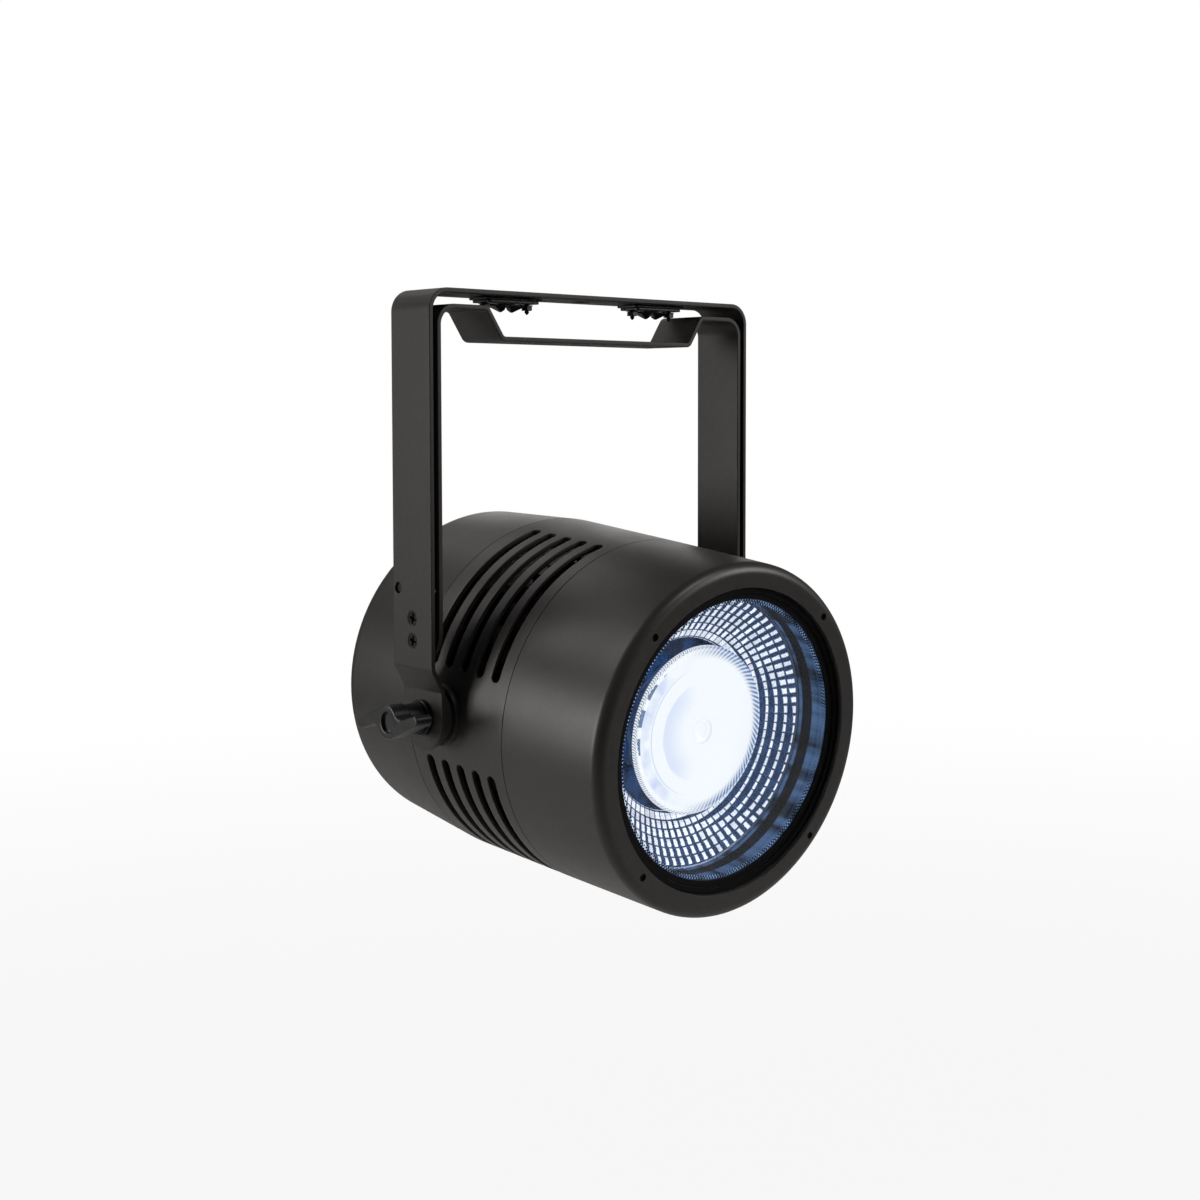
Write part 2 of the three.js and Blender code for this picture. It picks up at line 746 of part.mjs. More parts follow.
// A countersunk screw down through the top bar and the plate, with its nut run up below.
function receptacleScrew(x) {
  const screw = countersunk(-FIT, RECEPTACLE_DEPTH - FIT)
    .rotate([0, -90, 0])
    .translate([x, 0, 0]);
  const nutTop = SHEETS_BOTTOM - FIT;
  const nut = prism(
    circle(NUT_ACROSS / Math.sqrt(3), x, 0, 6),
    UP,
    nutTop - NUT_THICK,
    nutTop,
  );
  return join(screw, nut);
}

// Outer radius of the head at a station, from the rear shoulder to the front shoulder.
function bodyRadius(station) {
  const shoulder = BACK + BACK_ROUND;
  const knots = [
    [shoulder, BACK_RADIUS],
    [REAR_SEAM, BODY_RADIUS],
    [FRONT_SEAM, FRONT_SEAM_RADIUS],
    [FRONT - FRONT_ROUND, FRONT_RADIUS],
  ];
  const i = Math.max(
    0,
    knots.slice(1, -1).filter(([s]) => station > s).length,
  );
  const [[s0, r0], [s1, r1]] = [knots[i], knots[i + 1]];
  return r0 + ((r1 - r0) * (station - s0)) / (s1 - s0);
}

// Front housing: the tapering shell, its rounded edge and the flat front face round the opening.
const frontHoleDegs = [45, 135, 225, 315];

function aroundAxis(profile, deg, radius, segments = TINY_ROUND) {
  const a = THREE.MathUtils.degToRad(deg);
  return turned(profile, segments).translate([
    radius * Math.cos(a),
    0,
    radius * Math.sin(a),
  ]);
}

function frontHousing() {
  const rear = FRONT_SEAM + FIT / 2;
  const inner = (s) => bodyRadius(s) - WALL;
  const body = turned([
    [bodyRadius(rear), rear],
    ...arc(
      FRONT_RADIUS - FRONT_ROUND,
      FRONT - FRONT_ROUND,
      FRONT_ROUND,
      0,
      90,
      ARC - 1,
    ),
    [OPENING_RADIUS, FRONT],
    [OPENING_RADIUS, FRONT - WALL],
    [inner(FRONT - FRONT_ROUND), FRONT - WALL],
    [inner(rear), rear],
  ]);
  const holes = frontHoleDegs.map((deg) =>
    aroundAxis(
      bar(FRONT_SCREW_HOLE / 2, FRONT - WALL - BITE, FRONT + BITE),
      deg,
      FRONT_SCREW_RADIUS,
    ),
  );
  return cut(body, ...holes);
}

function frontScrew(deg) {
  const top = FRONT - FRONT_SCREW_SINK;
  const under = top - FRONT_SCREW_HEAD_THICK;
  return aroundAxis(
    [
      [0, under - FRONT_SCREW_LENGTH],
      [FRONT_SCREW_SHANK / 2, under - FRONT_SCREW_LENGTH],
      [FRONT_SCREW_SHANK / 2, under],
      [FRONT_SCREW_HEAD / 2, under],
      [FRONT_SCREW_HEAD / 2, top],
      [0, top],
    ],
    deg,
    FRONT_SCREW_RADIUS,
    TINY_ROUND,
  );
}

const shankHoles = (from, to) =>
  frontHoleDegs.map((deg) =>
    aroundAxis(
      bar(FRONT_SCREW_SHANK / 2 + FIT, from - BITE, to + BITE),
      deg,
      FRONT_SCREW_RADIUS,
    ),
  );

// The black stepped ring that holds the glass.
function retainerRing() {
  const front = FRONT - WALL - FIT;
  const rear = front - RETAINER;
  const outer = bodyRadius(FRONT - FRONT_ROUND) - WALL - FIT;
  return cut(
    turned([
      [WINDOW_RADIUS, rear],
      [outer, rear],
      [outer, front],
      [RETAINER_STEP_RADIUS, front],
      [RETAINER_STEP_RADIUS, front - RETAINER_STEP],
      [WINDOW_RADIUS, front - RETAINER_STEP],
    ]),
    ...shankHoles(rear, front),
  );
}

const frontGlass = () =>
  turned(bar(GLASS_RADIUS, GLASS_FRONT - GLASS, GLASS_FRONT));

const glassGasket = () =>
  turned(
    tube(WINDOW_RADIUS, GLASS_RADIUS, GASKET_FRONT - GASKET, GASKET_FRONT),
    HIDDEN_ROUND,
  );

// The black tube between the glass and the reflector. Its flange is held by the four front screws.
function opticTube() {
  const outer = bodyRadius(TUBE_FRONT) - WALL - FIT;
  return cut(
    turned([
      [RIM_RADIUS + FIT, TUBE_BACK],
      [RIM_RADIUS + FIT + TUBE_WALL, TUBE_BACK],
      [RIM_RADIUS + FIT + TUBE_WALL, TUBE_FRONT - TUBE_FLANGE],
      [outer, TUBE_FRONT - TUBE_FLANGE],
      [outer, TUBE_FRONT],
      [RIM_RADIUS + FIT, TUBE_FRONT],
    ]),
    ...shankHoles(TUBE_FRONT - TUBE_FLANGE, TUBE_FRONT),
  );
}

// The faceted bowl: a parabola from throat to rim in flat facets.
// Its plain neck stands on the bulkhead.
function reflector() {
  const k = (RIM - THROAT) / (RIM_RADIUS ** 2 - THROAT_RADIUS ** 2);
  const bowl = (r) => THROAT + k * (r ** 2 - THROAT_RADIUS ** 2);
  const rows = Array.from({ length: FACET_ROWS + 1 }, (_, i) => {
    const r = THREE.MathUtils.lerp(THROAT_RADIUS, RIM_RADIUS, i / FACET_ROWS);
    return [r, bowl(r)];
  });
  const foot = BULKHEAD + FIT;
  const outerRim = RIM_RADIUS + FIT + TUBE_WALL;
  return turned(
    [
      [THROAT_RADIUS, foot],
      ...rows,
      [outerRim, RIM],
      [outerRim, RIM - REFLECTOR_WALL],
      [RIM_RADIUS + REFLECTOR_WALL, RIM - REFLECTOR_WALL],
      [THROAT_RADIUS + REFLECTOR_WALL, THROAT - REFLECTOR_WALL],
      [THROAT_RADIUS + REFLECTOR_WALL, foot],
    ],
    FACET_COLUMNS,
  );
}

// The moulded beam lens: a cone of clear plastic with a low crown, a dimple and a toothed edge.
function beamLens() {
  const foot = LED_FRONT + FIT;
  const edge = LENS_RIM;
  const crown = edge + LENS_CROWN;
  const flank = (share) => [
    THREE.MathUtils.lerp(LENS_FOOT_RADIUS, LENS_RADIUS, Math.sqrt(share)),
    THREE.MathUtils.lerp(foot, edge - LENS_EDGE, share),
  ];
  const top = (r) => edge + LENS_CROWN * (1 - (r / LENS_RADIUS) ** 2);
  const body = turned([
    [0, foot + LED_WELL_DEPTH],
    [LED_WELL_RADIUS, foot + LED_WELL_DEPTH],
    [LED_WELL_RADIUS, foot],
    flank(0),
    flank(1 / 4),
    flank(1),
    [LENS_RADIUS, edge],
    [LENS_RADIUS / 2, top(LENS_RADIUS / 2)],
    [DIMPLE_RADIUS, top(DIMPLE_RADIUS)],
    [DIMPLE_RADIUS / 2, crown - (DIMPLE_DEPTH * 3) / 4],
    [0, crown - DIMPLE_DEPTH],
  ], HIDDEN_ROUND);
  const tooth = LENS_TOOTH / 2;
  const notches = Array.from({ length: LENS_TEETH }, (_, i) =>
    box(
      [LENS_RADIUS - LENS_TOOTH, -edge - LENS_CROWN, -tooth],
      [LENS_RADIUS + BITE, -edge + LENS_EDGE / 2, tooth],
    ).rotate([0, (360 * i) / LENS_TEETH, 0]),
  );
  return cut(body, ...notches);
}

function lensHolder() {
  const rear = BOARD_FRONT + FIT;
  return turned(
    [
      [LENS_FOOT_RADIUS - HOLDER_LEDGE, rear],
      [LENS_FOOT_RADIUS + HOLDER_COLLAR, rear],
      [LENS_FOOT_RADIUS + HOLDER_COLLAR, rear + HOLDER_HEIGHT],
      [LENS_FOOT_RADIUS + FIT, LED_FRONT],
      [LENS_FOOT_RADIUS - HOLDER_LEDGE, LED_FRONT],
    ],
    SMALL_ROUND,
  );
}

const cobLed = () =>
  turned(bar(LED_RADIUS, BOARD_FRONT + FIT, LED_FRONT), SMALL_ROUND);

const ledBoard = () =>
  prism(
    rectangle(BOARD_SIDE, BOARD_SIDE, LED_THICK),
    ALONG,
    BOARD_BACK,
    BOARD_FRONT,
  );

const bulkhead = () =>
  turned(
    tube(
      BULKHEAD_HOLE,
      bodyRadius(BULKHEAD) - WALL - FIT,
      BULKHEAD_BACK,
      BULKHEAD,
    ),
  );

// The heat sink: a round base with upright fins behind it and a pedestal through the bulkhead.
function heatSink() {
  const back = FAN_FRONT + FIT;
  const base = turned(
    bar(SINK_RADIUS, SINK_FRONT - SINK_BASE, SINK_FRONT),
    HIDDEN_ROUND,
  );
  const pedestal = turned(
    bar(SINK_PEDESTAL_RADIUS, SINK_FRONT - BITE, BULKHEAD),
    SMALL_ROUND,
  );
  const fins = Array.from({ length: FINS }, (_, i) => {
    const x = (i - (FINS - 1) / 2) * FIN_PITCH;
    const half = Math.sqrt(SINK_RADIUS ** 2 - (Math.abs(x) + FIN) ** 2) - FIN;
    return box(
      [x - FIN / 2, -(SINK_FRONT - SINK_BASE + BITE), -half],
      [x + FIN / 2, -back, half],
    );
  });
  return join(base, pedestal, ...fins);
}

function fanFrame() {
  const hole = (x, z) => [circle(FAN_HOLE / 2, x, z, TINY_ROUND)];
  const far = FAN_HOLE_PITCH / 2;
  const frame = prism(
    rectangle(FAN_SIDE, FAN_SIDE, FAN_CORNER),
    ALONG,
    FAN_BACK,
    FAN_FRONT,
    [
      circle(FAN_BORE / 2, 0, 0, HIDDEN_ROUND),
      ...hole(far, far),
      ...hole(-far, far),
      ...hole(-far, -far),
      ...hole(far, -far),
    ],
  );
  const plate = turned(
    bar(FAN_MOTOR_RADIUS, FAN_BACK, FAN_BACK + FAN_MOTOR_PLATE),
    SMALL_ROUND,
  );
  const struts = [45, 135].map((deg) =>
    box(
      [-FAN_BORE / 2 - BITE, -FAN_BACK - FAN_MOTOR_PLATE, -FAN_STRUT / 2],
      [FAN_BORE / 2 + BITE, -FAN_BACK, FAN_STRUT / 2],
    ).rotate([0, deg, 0]),
  );
  return join(frame, plate, ...struts);
}

function fanRotor() {
  const rear = FAN_BACK + FAN_MOTOR_PLATE + FIT;
  const front = FAN_FRONT - FAN_TIP_GAP;
  const hub = turned(bar(FAN_MOTOR_RADIUS, rear, front), SMALL_ROUND);
  const reach = FAN_BORE / 2 - FAN_TIP_GAP;
  const middle = (rear + front) / 2;
  const swept = turned(tube(FAN_MOTOR_RADIUS / 2, reach, rear, front), HIDDEN_ROUND);
  const blades = Array.from({ length: BLADES }, (_, i) =>
    box(
      [FAN_MOTOR_RADIUS - BLADE, -BLADE / 2, -BLADE_CHORD / 2],
      [reach + BITE, BLADE / 2, BLADE_CHORD / 2],
    )
      .rotate([BLADE_PITCH_DEG, 0, 0])
      .translate([0, -middle, 0])
      .rotate([0, (360 * i) / BLADES, 0]),
  );
  return join(hub, join(...blades).intersect(swept));
}

// One vent slot in the first quarter, at the pivot's station: a sector of a flat ring with round ends.
function slotCutter() {
  const inner = BODY_RADIUS / 2;
  const outer = BODY_RADIUS * 2;
  const half = SLOT_WIDTH / 2;
  const round = THREE.MathUtils.radToDeg(half / BODY_RADIUS);
  const [from, to] = [SLOT_FIRST_DEG + round, SLOT_LAST_DEG - round];
  const sector = prism(
    vectors([
      ...arc(0, 0, outer, from, to, CORNER_ARC),
      ...arc(0, 0, inner, to, from, CORNER_ARC),
    ]),
    ALONG,
    -half,
    half,
  );
  const ends = [from, to].map((deg) =>
    turnedX(bar(half, inner, outer), TINY_ROUND).rotate([0, -deg, 0]),
  );
  return join(sector, ...ends);
}

// Slotted vent ring with the two pads that the head tilts on.
function ventRing() {
  const front = FRONT_SEAM - FIT / 2;
  const rear = REAR_SEAM + FIT / 2;
  const shell = turned([
    [bodyRadius(rear) - WALL, rear],
    [bodyRadius(rear), rear],
    [bodyRadius(front), front],
    [bodyRadius(front) - WALL, front],
  ]);
  const pad = turnedX(
    bar(PIVOT_PAD_RADIUS, PIVOT_PAD_FACE - PAD_DEPTH, PIVOT_PAD_FACE),
  );
  const first = SLOT_MIDDLE - (SLOT_PITCH * (SLOTS - 1)) / 2;
  const slot = slotCutter();
  const quarter = Array.from({ length: SLOTS }, (_, i) =>
    slot.translate([0, -first - SLOT_PITCH * i, 0]),
  );
  const half = [...quarter, ...quarter.map((c) => c.mirror([0, 0, 1]))];
  return cut(
    join(shell, pad, mirrored(pad)),
    join(...half, ...half.map(mirrored)),
    crossHole(STUD + 2 * FIT, 0, 0),
  );
}

function frictionDisc() {
  return turnedX(
    tube(
      STUD / 2 + FIT,
      DISC_RADIUS,
      PIVOT_PAD_FACE + FIT,
      FOOT_FACE - STRIP - FIT,
    ),
  );
}

function tiltStud() {
  const inner = PIVOT_PAD_FACE - PAD_DEPTH - FIT;
  const outer = FOOT_FACE + KNOB_REACH - KNOB_WELL_DEPTH - 2 * FIT - STRIP;
  return turnedX([
    [0, inner - STUD_HEAD],
    [STUD_HEAD_RADIUS, inner - STUD_HEAD],
    [STUD_HEAD_RADIUS, inner],
    [STUD / 2, inner],
    [STUD / 2, outer],
    [0, outer],
  ]);
}

const knobWasher = () =>
  turnedX(
    tube(
      STUD / 2 + FIT,
      WASHER_RADIUS,
      FOOT_FACE + FIT,
      FOOT_FACE + FIT + WASHER,
    ),
  );

// The S-shaped wing knob: a hub and two wings, each straight on one flank and hollow on the other.
function knobOutline() {
  const tip = new THREE.Vector2(KNOB_TIP_OUT, -KNOB_TIP_UP);
  const lean = THREE.MathUtils.radToDeg(Math.atan2(tip.y, tip.x));
  const narrowing = THREE.MathUtils.radToDeg(
    Math.asin((KNOB_HUB_RADIUS - KNOB_TIP_RADIUS) / tip.length()),
  );
  const straight = lean + 90 - narrowing; // where the straight flank leaves the hub
  const under = -90 - KNOB_HOLLOW_LEAN_DEG; // the way that the hollow flank faces
  const way = THREE.MathUtils.degToRad(under);
  const facing = new THREE.Vector2(Math.cos(way), Math.sin(way));
  const aside = facing.dot(tip) + KNOB_TIP_RADIUS + KNOB_HOLLOW_RADIUS;
  const reach = KNOB_HUB_RADIUS + KNOB_HOLLOW_RADIUS;
  const along = Math.sqrt(reach * reach - aside * aside);
  const centre = new THREE.Vector2(-facing.y, facing.x)
    .multiplyScalar(along)
    .addScaledVector(facing, aside);
  const back = THREE.MathUtils.radToDeg(Math.atan2(-centre.y, -centre.x));
  const half = [
    ...arc(centre.x, centre.y, KNOB_HOLLOW_RADIUS, back, 180 + under),
    ...arc(tip.x, tip.y, KNOB_TIP_RADIUS, under, straight),
    ...arc(0, 0, KNOB_HUB_RADIUS, straight, back).slice(0, -1),
  ];
  return [...half, ...half.map(([y, z]) => [-y, -z])];
}

function tiltKnob() {
  const outer = FOOT_FACE + KNOB_REACH;
  const inner = FOOT_FACE + 2 * FIT + WASHER;
  const wings = prism(vectors(knobOutline()), ACROSS, outer - KNOB_WING_THICK, outer);
  const neck = turnedX(bar(KNOB_NECK_RADIUS, inner, outer - KNOB_WING_THICK + BITE));
  const well = turnedX(bar(KNOB_WELL_RADIUS, outer - KNOB_WELL_DEPTH, outer + BITE));
  const bore = turnedX(
    bar(
      STUD / 2 + FIT,
      inner - BITE,
      outer - KNOB_WELL_DEPTH - STRIP + FIT,
    ),
  );
  return cut(join(wings, neck), well, bore);
}

// Rear housing: a deep cup with a wide rounded edge and a ledge that the panel sits on.
function rearHousing() {
  const front = REAR_SEAM - FIT / 2;
  const shoulder = BACK + BACK_ROUND;
  const inner = (s) => bodyRadius(s) - WALL;
  const centre = BACK_RADIUS - BACK_ROUND;
  const ledge = PANEL_INNER + FIT;
  return turned([
    [bodyRadius(front), front],
    ...arc(centre, shoulder, BACK_ROUND, 0, -90),
    [PANEL_RADIUS + FIT, BACK],
    [PANEL_RADIUS + FIT, ledge],
    [PANEL_RADIUS - LEDGE, ledge],
    [PANEL_RADIUS - LEDGE, ledge + WALL],
    ...arc(centre, shoulder, BACK_ROUND - WALL, -45, 0, 1),
    [inner(front), front],
  ]);
}

const buttonXs = Array.from(
  { length: BUTTONS },
  (_, i) => (i - (BUTTONS - 1) / 2) * BUTTON_PITCH,
);
const sockets = {
  data_input: [-SOCKET_COLUMN, SOCKET_TOP_ROW],
  data_output: [SOCKET_COLUMN, SOCKET_TOP_ROW],
  power_inlet: [-SOCKET_COLUMN, SOCKET_TOP_ROW - SOCKET_ROW],
  power_outlet: [SOCKET_COLUMN, SOCKET_TOP_ROW - SOCKET_ROW],
};

function rearPanel() {
  return prism(
    circle(PANEL_RADIUS, 0, 0, ROUND),
    ALONG,
    BACK,
    PANEL_INNER,
    [
      rectangle(
        DISPLAY_WIDTH + 2 * FIT,
        DISPLAY_HEIGHT + 2 * FIT,
        BEZEL,
        0,
        DISPLAY_UP,
      ),
      ...buttonXs.map((x) =>
        circle(BUTTON_RADIUS + FIT, x, BUTTON_UP, TINY_ROUND),
      ),
      ...Object.values(sockets).map(([x, z]) =>
        circle(SOCKET_BODY_RADIUS + FIT, x, z),
      ),
      circle(FUSE_BODY_RADIUS + FIT, FUSE_OUT, FUSE_UP),
    ],
  );
}

// The display: a window in a bezel on the panel, and its module back to the control board.
function display() {
  const bezel = prism(
    rectangle(
      DISPLAY_WIDTH + 2 * BEZEL,
      DISPLAY_HEIGHT + 2 * BEZEL,
      BEZEL,
      0,
      DISPLAY_UP,
    ),
    ALONG,
    BACK - FIT - DISPLAY_PROUD,
    BACK - FIT,
  );
  const module = prism(
    rectangle(DISPLAY_WIDTH, DISPLAY_HEIGHT, BEZEL, 0, DISPLAY_UP),
    ALONG,
    BACK - FIT - DISPLAY_PROUD / 2,
    BOARD_PLANE - FIT,
  );
  return join(bezel, module);
}

const controlBoard = () =>
  prism(
    rectangle(CONTROL_WIDTH, CONTROL_HEIGHT, BEZEL, 0, CONTROL_UP),
    ALONG,
    BOARD_PLANE,
    BOARD_PLANE + BOARD,
  );

function menuButton(x) {
  const inner = PANEL_INNER + FIT;
  return turned(
    [
      [0, BACK - BUTTON_PROUD],
      [BUTTON_RADIUS - BUTTON_COLLAR / 2, BACK - BUTTON_PROUD],
      [BUTTON_RADIUS, BACK - BUTTON_PROUD + BUTTON_COLLAR / 2],
      [BUTTON_RADIUS, inner],
      [BUTTON_RADIUS + BUTTON_COLLAR, inner],
      [BUTTON_RADIUS + BUTTON_COLLAR, inner + BUTTON_COLLAR],
      [BUTTON_RADIUS / 2, inner + BUTTON_COLLAR],
      [BUTTON_RADIUS / 2, BOARD_PLANE - BUTTON_TRAVEL - FIT],
      [0, BOARD_PLANE - BUTTON_TRAVEL - FIT],
    ],
    TINY_ROUND,
  ).translate([x, 0, BUTTON_UP]);
}

// A panel socket: a square flange outside the panel and a round body inside it.
function socketBlank([x, z], wellRadius) {
  const face = BACK - FIT - SOCKET_FLANGE;
  const flange = prism(
    rectangle(
      SOCKET_FLANGE_WIDTH,
      SOCKET_FLANGE_HEIGHT,
      SOCKET_CORNER,
      x,
      z,
    ),
    ALONG,
    face,
    BACK - FIT,
  );
  const at = (profile) => turned(profile, SMALL_ROUND).translate([x, 0, z]);
  const body = at(
    bar(SOCKET_BODY_RADIUS, face + SOCKET_FLANGE / 2, face + SOCKET_BODY_DEPTH),
  );
  const well = at(bar(wellRadius, face - BITE, face + SOCKET_WELL_DEPTH));
  return cut(join(flange, body), well);
}

const pinPlaces = [-60, 60, 180].map((deg) => {
  const a = THREE.MathUtils.degToRad(deg + 90);
  return [PIN_CIRCLE * Math.cos(a), PIN_CIRCLE * Math.sin(a)];
});

// Data in has three pins. Data out is filled, with three holes.
function dataSocket(place, pins) {
  const floor = BACK - FIT - SOCKET_FLANGE + SOCKET_WELL_DEPTH;
  const [x, z] = place;
  const rods = pinPlaces.map(([u, v]) =>
    turned(bar(PIN / 2, floor - PIN_LENGTH, floor + BITE), TINY_ROUND).translate(
      [x + u, 0, z + v],
    ),
  );
  const blank = socketBlank(place, DATA_WELL_RADIUS);
  if (pins) return join(blank, ...rods);
  const plug = turned(
    bar(
      DATA_WELL_RADIUS + BITE,
      floor - SOCKET_WELL_DEPTH + SOCKET_FLANGE / 2,
      floor + BITE,
    ),
    SMALL_ROUND,
  ).translate([x, 0, z]);
  const holes = rods.map((r) => r.translate([0, 2 * SOCKET_FLANGE, 0]));
  return cut(join(blank, plug), ...holes);
}

// Power sockets: a round well with a keyed core.
function powerSocket(place) {
  const floor = BACK - FIT - SOCKET_FLANGE + SOCKET_WELL_DEPTH;
  const [x, z] = place;
  const core = turned(
    bar(POWER_CORE_RADIUS, floor - POWER_CORE_LENGTH, floor + BITE),
    SMALL_ROUND,
  ).translate([x, 0, z]);
  const key = box(
    [x - PIN / 2, -floor - BITE, z],
    [x + PIN / 2, POWER_CORE_LENGTH - floor, z + POWER_WELL_RADIUS + BITE],
  );
  return join(socketBlank(place, POWER_WELL_RADIUS), core, key);
}

function fuseHolder() {
  const cap = BACK - FIT - FUSE_CAP;
  const body = turned(
    [
      [0, cap],
      [FUSE_CAP_RADIUS, cap],
      [FUSE_CAP_RADIUS, BACK - FIT],
      [FUSE_BODY_RADIUS, BACK - FIT],
      [FUSE_BODY_RADIUS, cap + FUSE_DEPTH],
      [0, cap + FUSE_DEPTH],
    ],
    SMALL_ROUND,
  );
  const slot = box(
    [-FUSE_CAP_RADIUS / 2, -cap - FUSE_SLOT, -FUSE_SLOT / 2],
    [FUSE_CAP_RADIUS / 2, -cap + BITE, FUSE_SLOT / 2],
  );
  return cut(body, slot).translate([FUSE_OUT, 0, FUSE_UP]);
}

// The eye for the safety cable: a bent rod on a foot plate.
function safetyEye() {
  const face = BACK - FIT;
  const foot = prism(
    rectangle(EYE_FOOT_WIDTH, EYE_FOOT_HEIGHT, EYE_FOOT, 0, EYE_UP),
    ALONG,
    face - EYE_FOOT,
    face,
  );
  const y = (out) => -(face - out);
  const path = new THREE.CurvePath();
  const left = new THREE.Vector3(-EYE_RADIUS, y(EYE_FOOT / 2), EYE_UP);
  const leftTop = new THREE.Vector3(-EYE_RADIUS, y(EYE_FOOT + EYE_LEG), EYE_UP);
  path.add(new THREE.LineCurve3(left, leftTop));
  const bow = Array.from({ length: 2 * ARC + 1 }, (_, i) => {
    const a = Math.PI - (Math.PI * i) / (2 * ARC);
    return new THREE.Vector3(
      EYE_RADIUS * Math.cos(a),
      y(EYE_FOOT + EYE_LEG) + EYE_RADIUS * Math.sin(a),
      EYE_UP,
    );
  });
  path.add(new THREE.CatmullRomCurve3(bow));
  path.add(
    new THREE.LineCurve3(
      leftTop.clone().setX(EYE_RADIUS),
      left.clone().setX(EYE_RADIUS),
    ),
  );
  const rod = new THREE.ExtrudeGeometry(circle(EYE_WIRE / 2, 0, 0, 2 * ARC), {
    extrudePath: path,
    steps: 3 * ARC,
    bevelEnabled: false,
  });
  return join(foot, solid(rod));
}

// The power supply hangs under the roof of the rear housing, its top corners against the wall.
function powerSupply() {
  const front = FAN_BACK - SUPPLY_GAP;
  const back = front - SUPPLY_LENGTH;
  const room = bodyRadius(back) - WALL - FIT;
  const top = Math.sqrt(room ** 2 - (SUPPLY_WIDTH / 2) ** 2);
  return prism(
    rectangle(
      SUPPLY_WIDTH,
      SUPPLY_HEIGHT,
      FIT,
      0,
      top - SUPPLY_HEIGHT / 2,
    ),
    ALONG,
    back,
    front,
    [],
    1,
  );
}

// Assembly
const yoke = new THREE.Group();
yoke.name = "yoke";
yoke.add(
  mesh("outer_yoke", outerYoke(), COATED_STRIP),
  mesh("floor_stand", floorStand(), COATED_STRIP),
);
const sides = [
  ["left", mirrored],
  ["right", (body) => body],
];
for (const [side, place] of sides) {
  yoke.add(
    mesh(`stand_hinge_${side}`, place(hingeBoss()), BLACK_STEEL),
    mesh(`stand_detent_${side}`, place(detent()), STEEL),
  );
  hingeScrewUps.forEach((up, i) => {
    const screw = countersunk(HALF_YOKE - FIT, SCREW_LENGTH);
    yoke.add(
      mesh(
        `stand_screw_${side}_${i + 1}`,
        place(screw.translate([0, 0, HINGE_Z + up])),
        BLACK_STEEL,
      ),
    );
  });
}
receptacleXs.forEach((x, i) => {
  const side = sides[i][0];
  yoke.add(
    mesh(`clamp_socket_plate_${side}`, receptaclePlate(x), BLACK_STEEL),
    mesh(`clamp_socket_cam_${side}`, receptacleCam(x), BLACK_STEEL),
  );
});
receptacleScrewXs.forEach((x, i) => {
  yoke.add(mesh(`clamp_socket_screw_${i + 1}`, receptacleScrew(x), STEEL));
});

const head = new THREE.Group();
head.name = "head";
head.position.z = PIVOT_Z;
head.rotation.x = THREE.MathUtils.degToRad(HEAD_TILT_DEG);
head.add(
  mesh("front_housing", frontHousing(), COATED),
  mesh("vent_ring", ventRing(), COATED),
  mesh("rear_housing", rearHousing(), COATED),
  mesh("glass_retainer", retainerRing(), BLACK),
  mesh("front_glass", frontGlass(), CLEAR),
  mesh("glass_gasket", glassGasket(), RUBBER),
  mesh("optic_tube", opticTube(), BLACK),
  mesh("reflector", reflector(), MIRROR),
  mesh("beam_lens", beamLens(), LENS_CLEAR),
  mesh("lens_holder", lensHolder(), BLACK),
  mesh("led_emitter", cobLed(), PHOSPHOR),
  mesh("led_board", ledBoard(), ALUMINIUM),
  mesh("bulkhead", bulkhead(), ALUMINIUM),
  mesh("heat_sink", heatSink(), ALUMINIUM),
  mesh("fan_frame", fanFrame(), BLACK),
  mesh("fan_rotor", fanRotor(), BLACK),
  mesh("power_supply", powerSupply(), ALUMINIUM),
  mesh("rear_panel", rearPanel(), COATED),
  mesh("control_board", controlBoard(), BOARD_GREEN),
  mesh("display", display(), WINDOW),
  mesh("data_input", dataSocket(sockets.data_input, true), SATIN_BLACK),
  mesh("data_output", dataSocket(sockets.data_output, false), SATIN_BLACK),
  mesh("power_inlet", powerSocket(sockets.power_inlet), SATIN_BLACK),
  mesh("power_outlet", powerSocket(sockets.power_outlet), SATIN_BLACK),
  mesh("fuse_holder", fuseHolder(), SATIN_BLACK),
  mesh("safety_eye", safetyEye(), STEEL),
);
frontHoleDegs.forEach((deg, i) => {
  head.add(mesh(`front_screw_${i + 1}`, frontScrew(deg), BLACK_STEEL));
});
buttonXs.forEach((x, i) => {
  head.add(mesh(`menu_button_${i + 1}`, menuButton(x), SATIN_BLACK));
});
for (const [side, place] of sides) {
  head.add(
    mesh(`friction_disc_${side}`, place(frictionDisc()), RUBBER),
    mesh(`tilt_stud_${side}`, place(tiltStud()), STEEL),
    mesh(`knob_washer_${side}`, place(knobWasher()), BLACK_STEEL),
    mesh(`tilt_knob_${side}`, place(tiltKnob()), SATIN_BLACK),
  );
}

const strobeLight = new THREE.Group();
strobeLight.name = "strobe_light";
strobeLight.add(yoke, head);
export default strobeLight;
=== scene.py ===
"""A round LED strobe light in a double yoke, dressed for a plain studio picture.

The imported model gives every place. The sizes here are millimetres, carried into its frame of metres.
A head size is a radius and a station, the distance ahead of the tilt pivot towards the lens.
"""

import logging
import math
from dataclasses import dataclass, field
from enum import Enum
from typing import Callable, Iterable, Sequence

import bmesh
import bpy
from mathutils import Matrix, Vector
from mathutils.geometry import tessellate_polygon


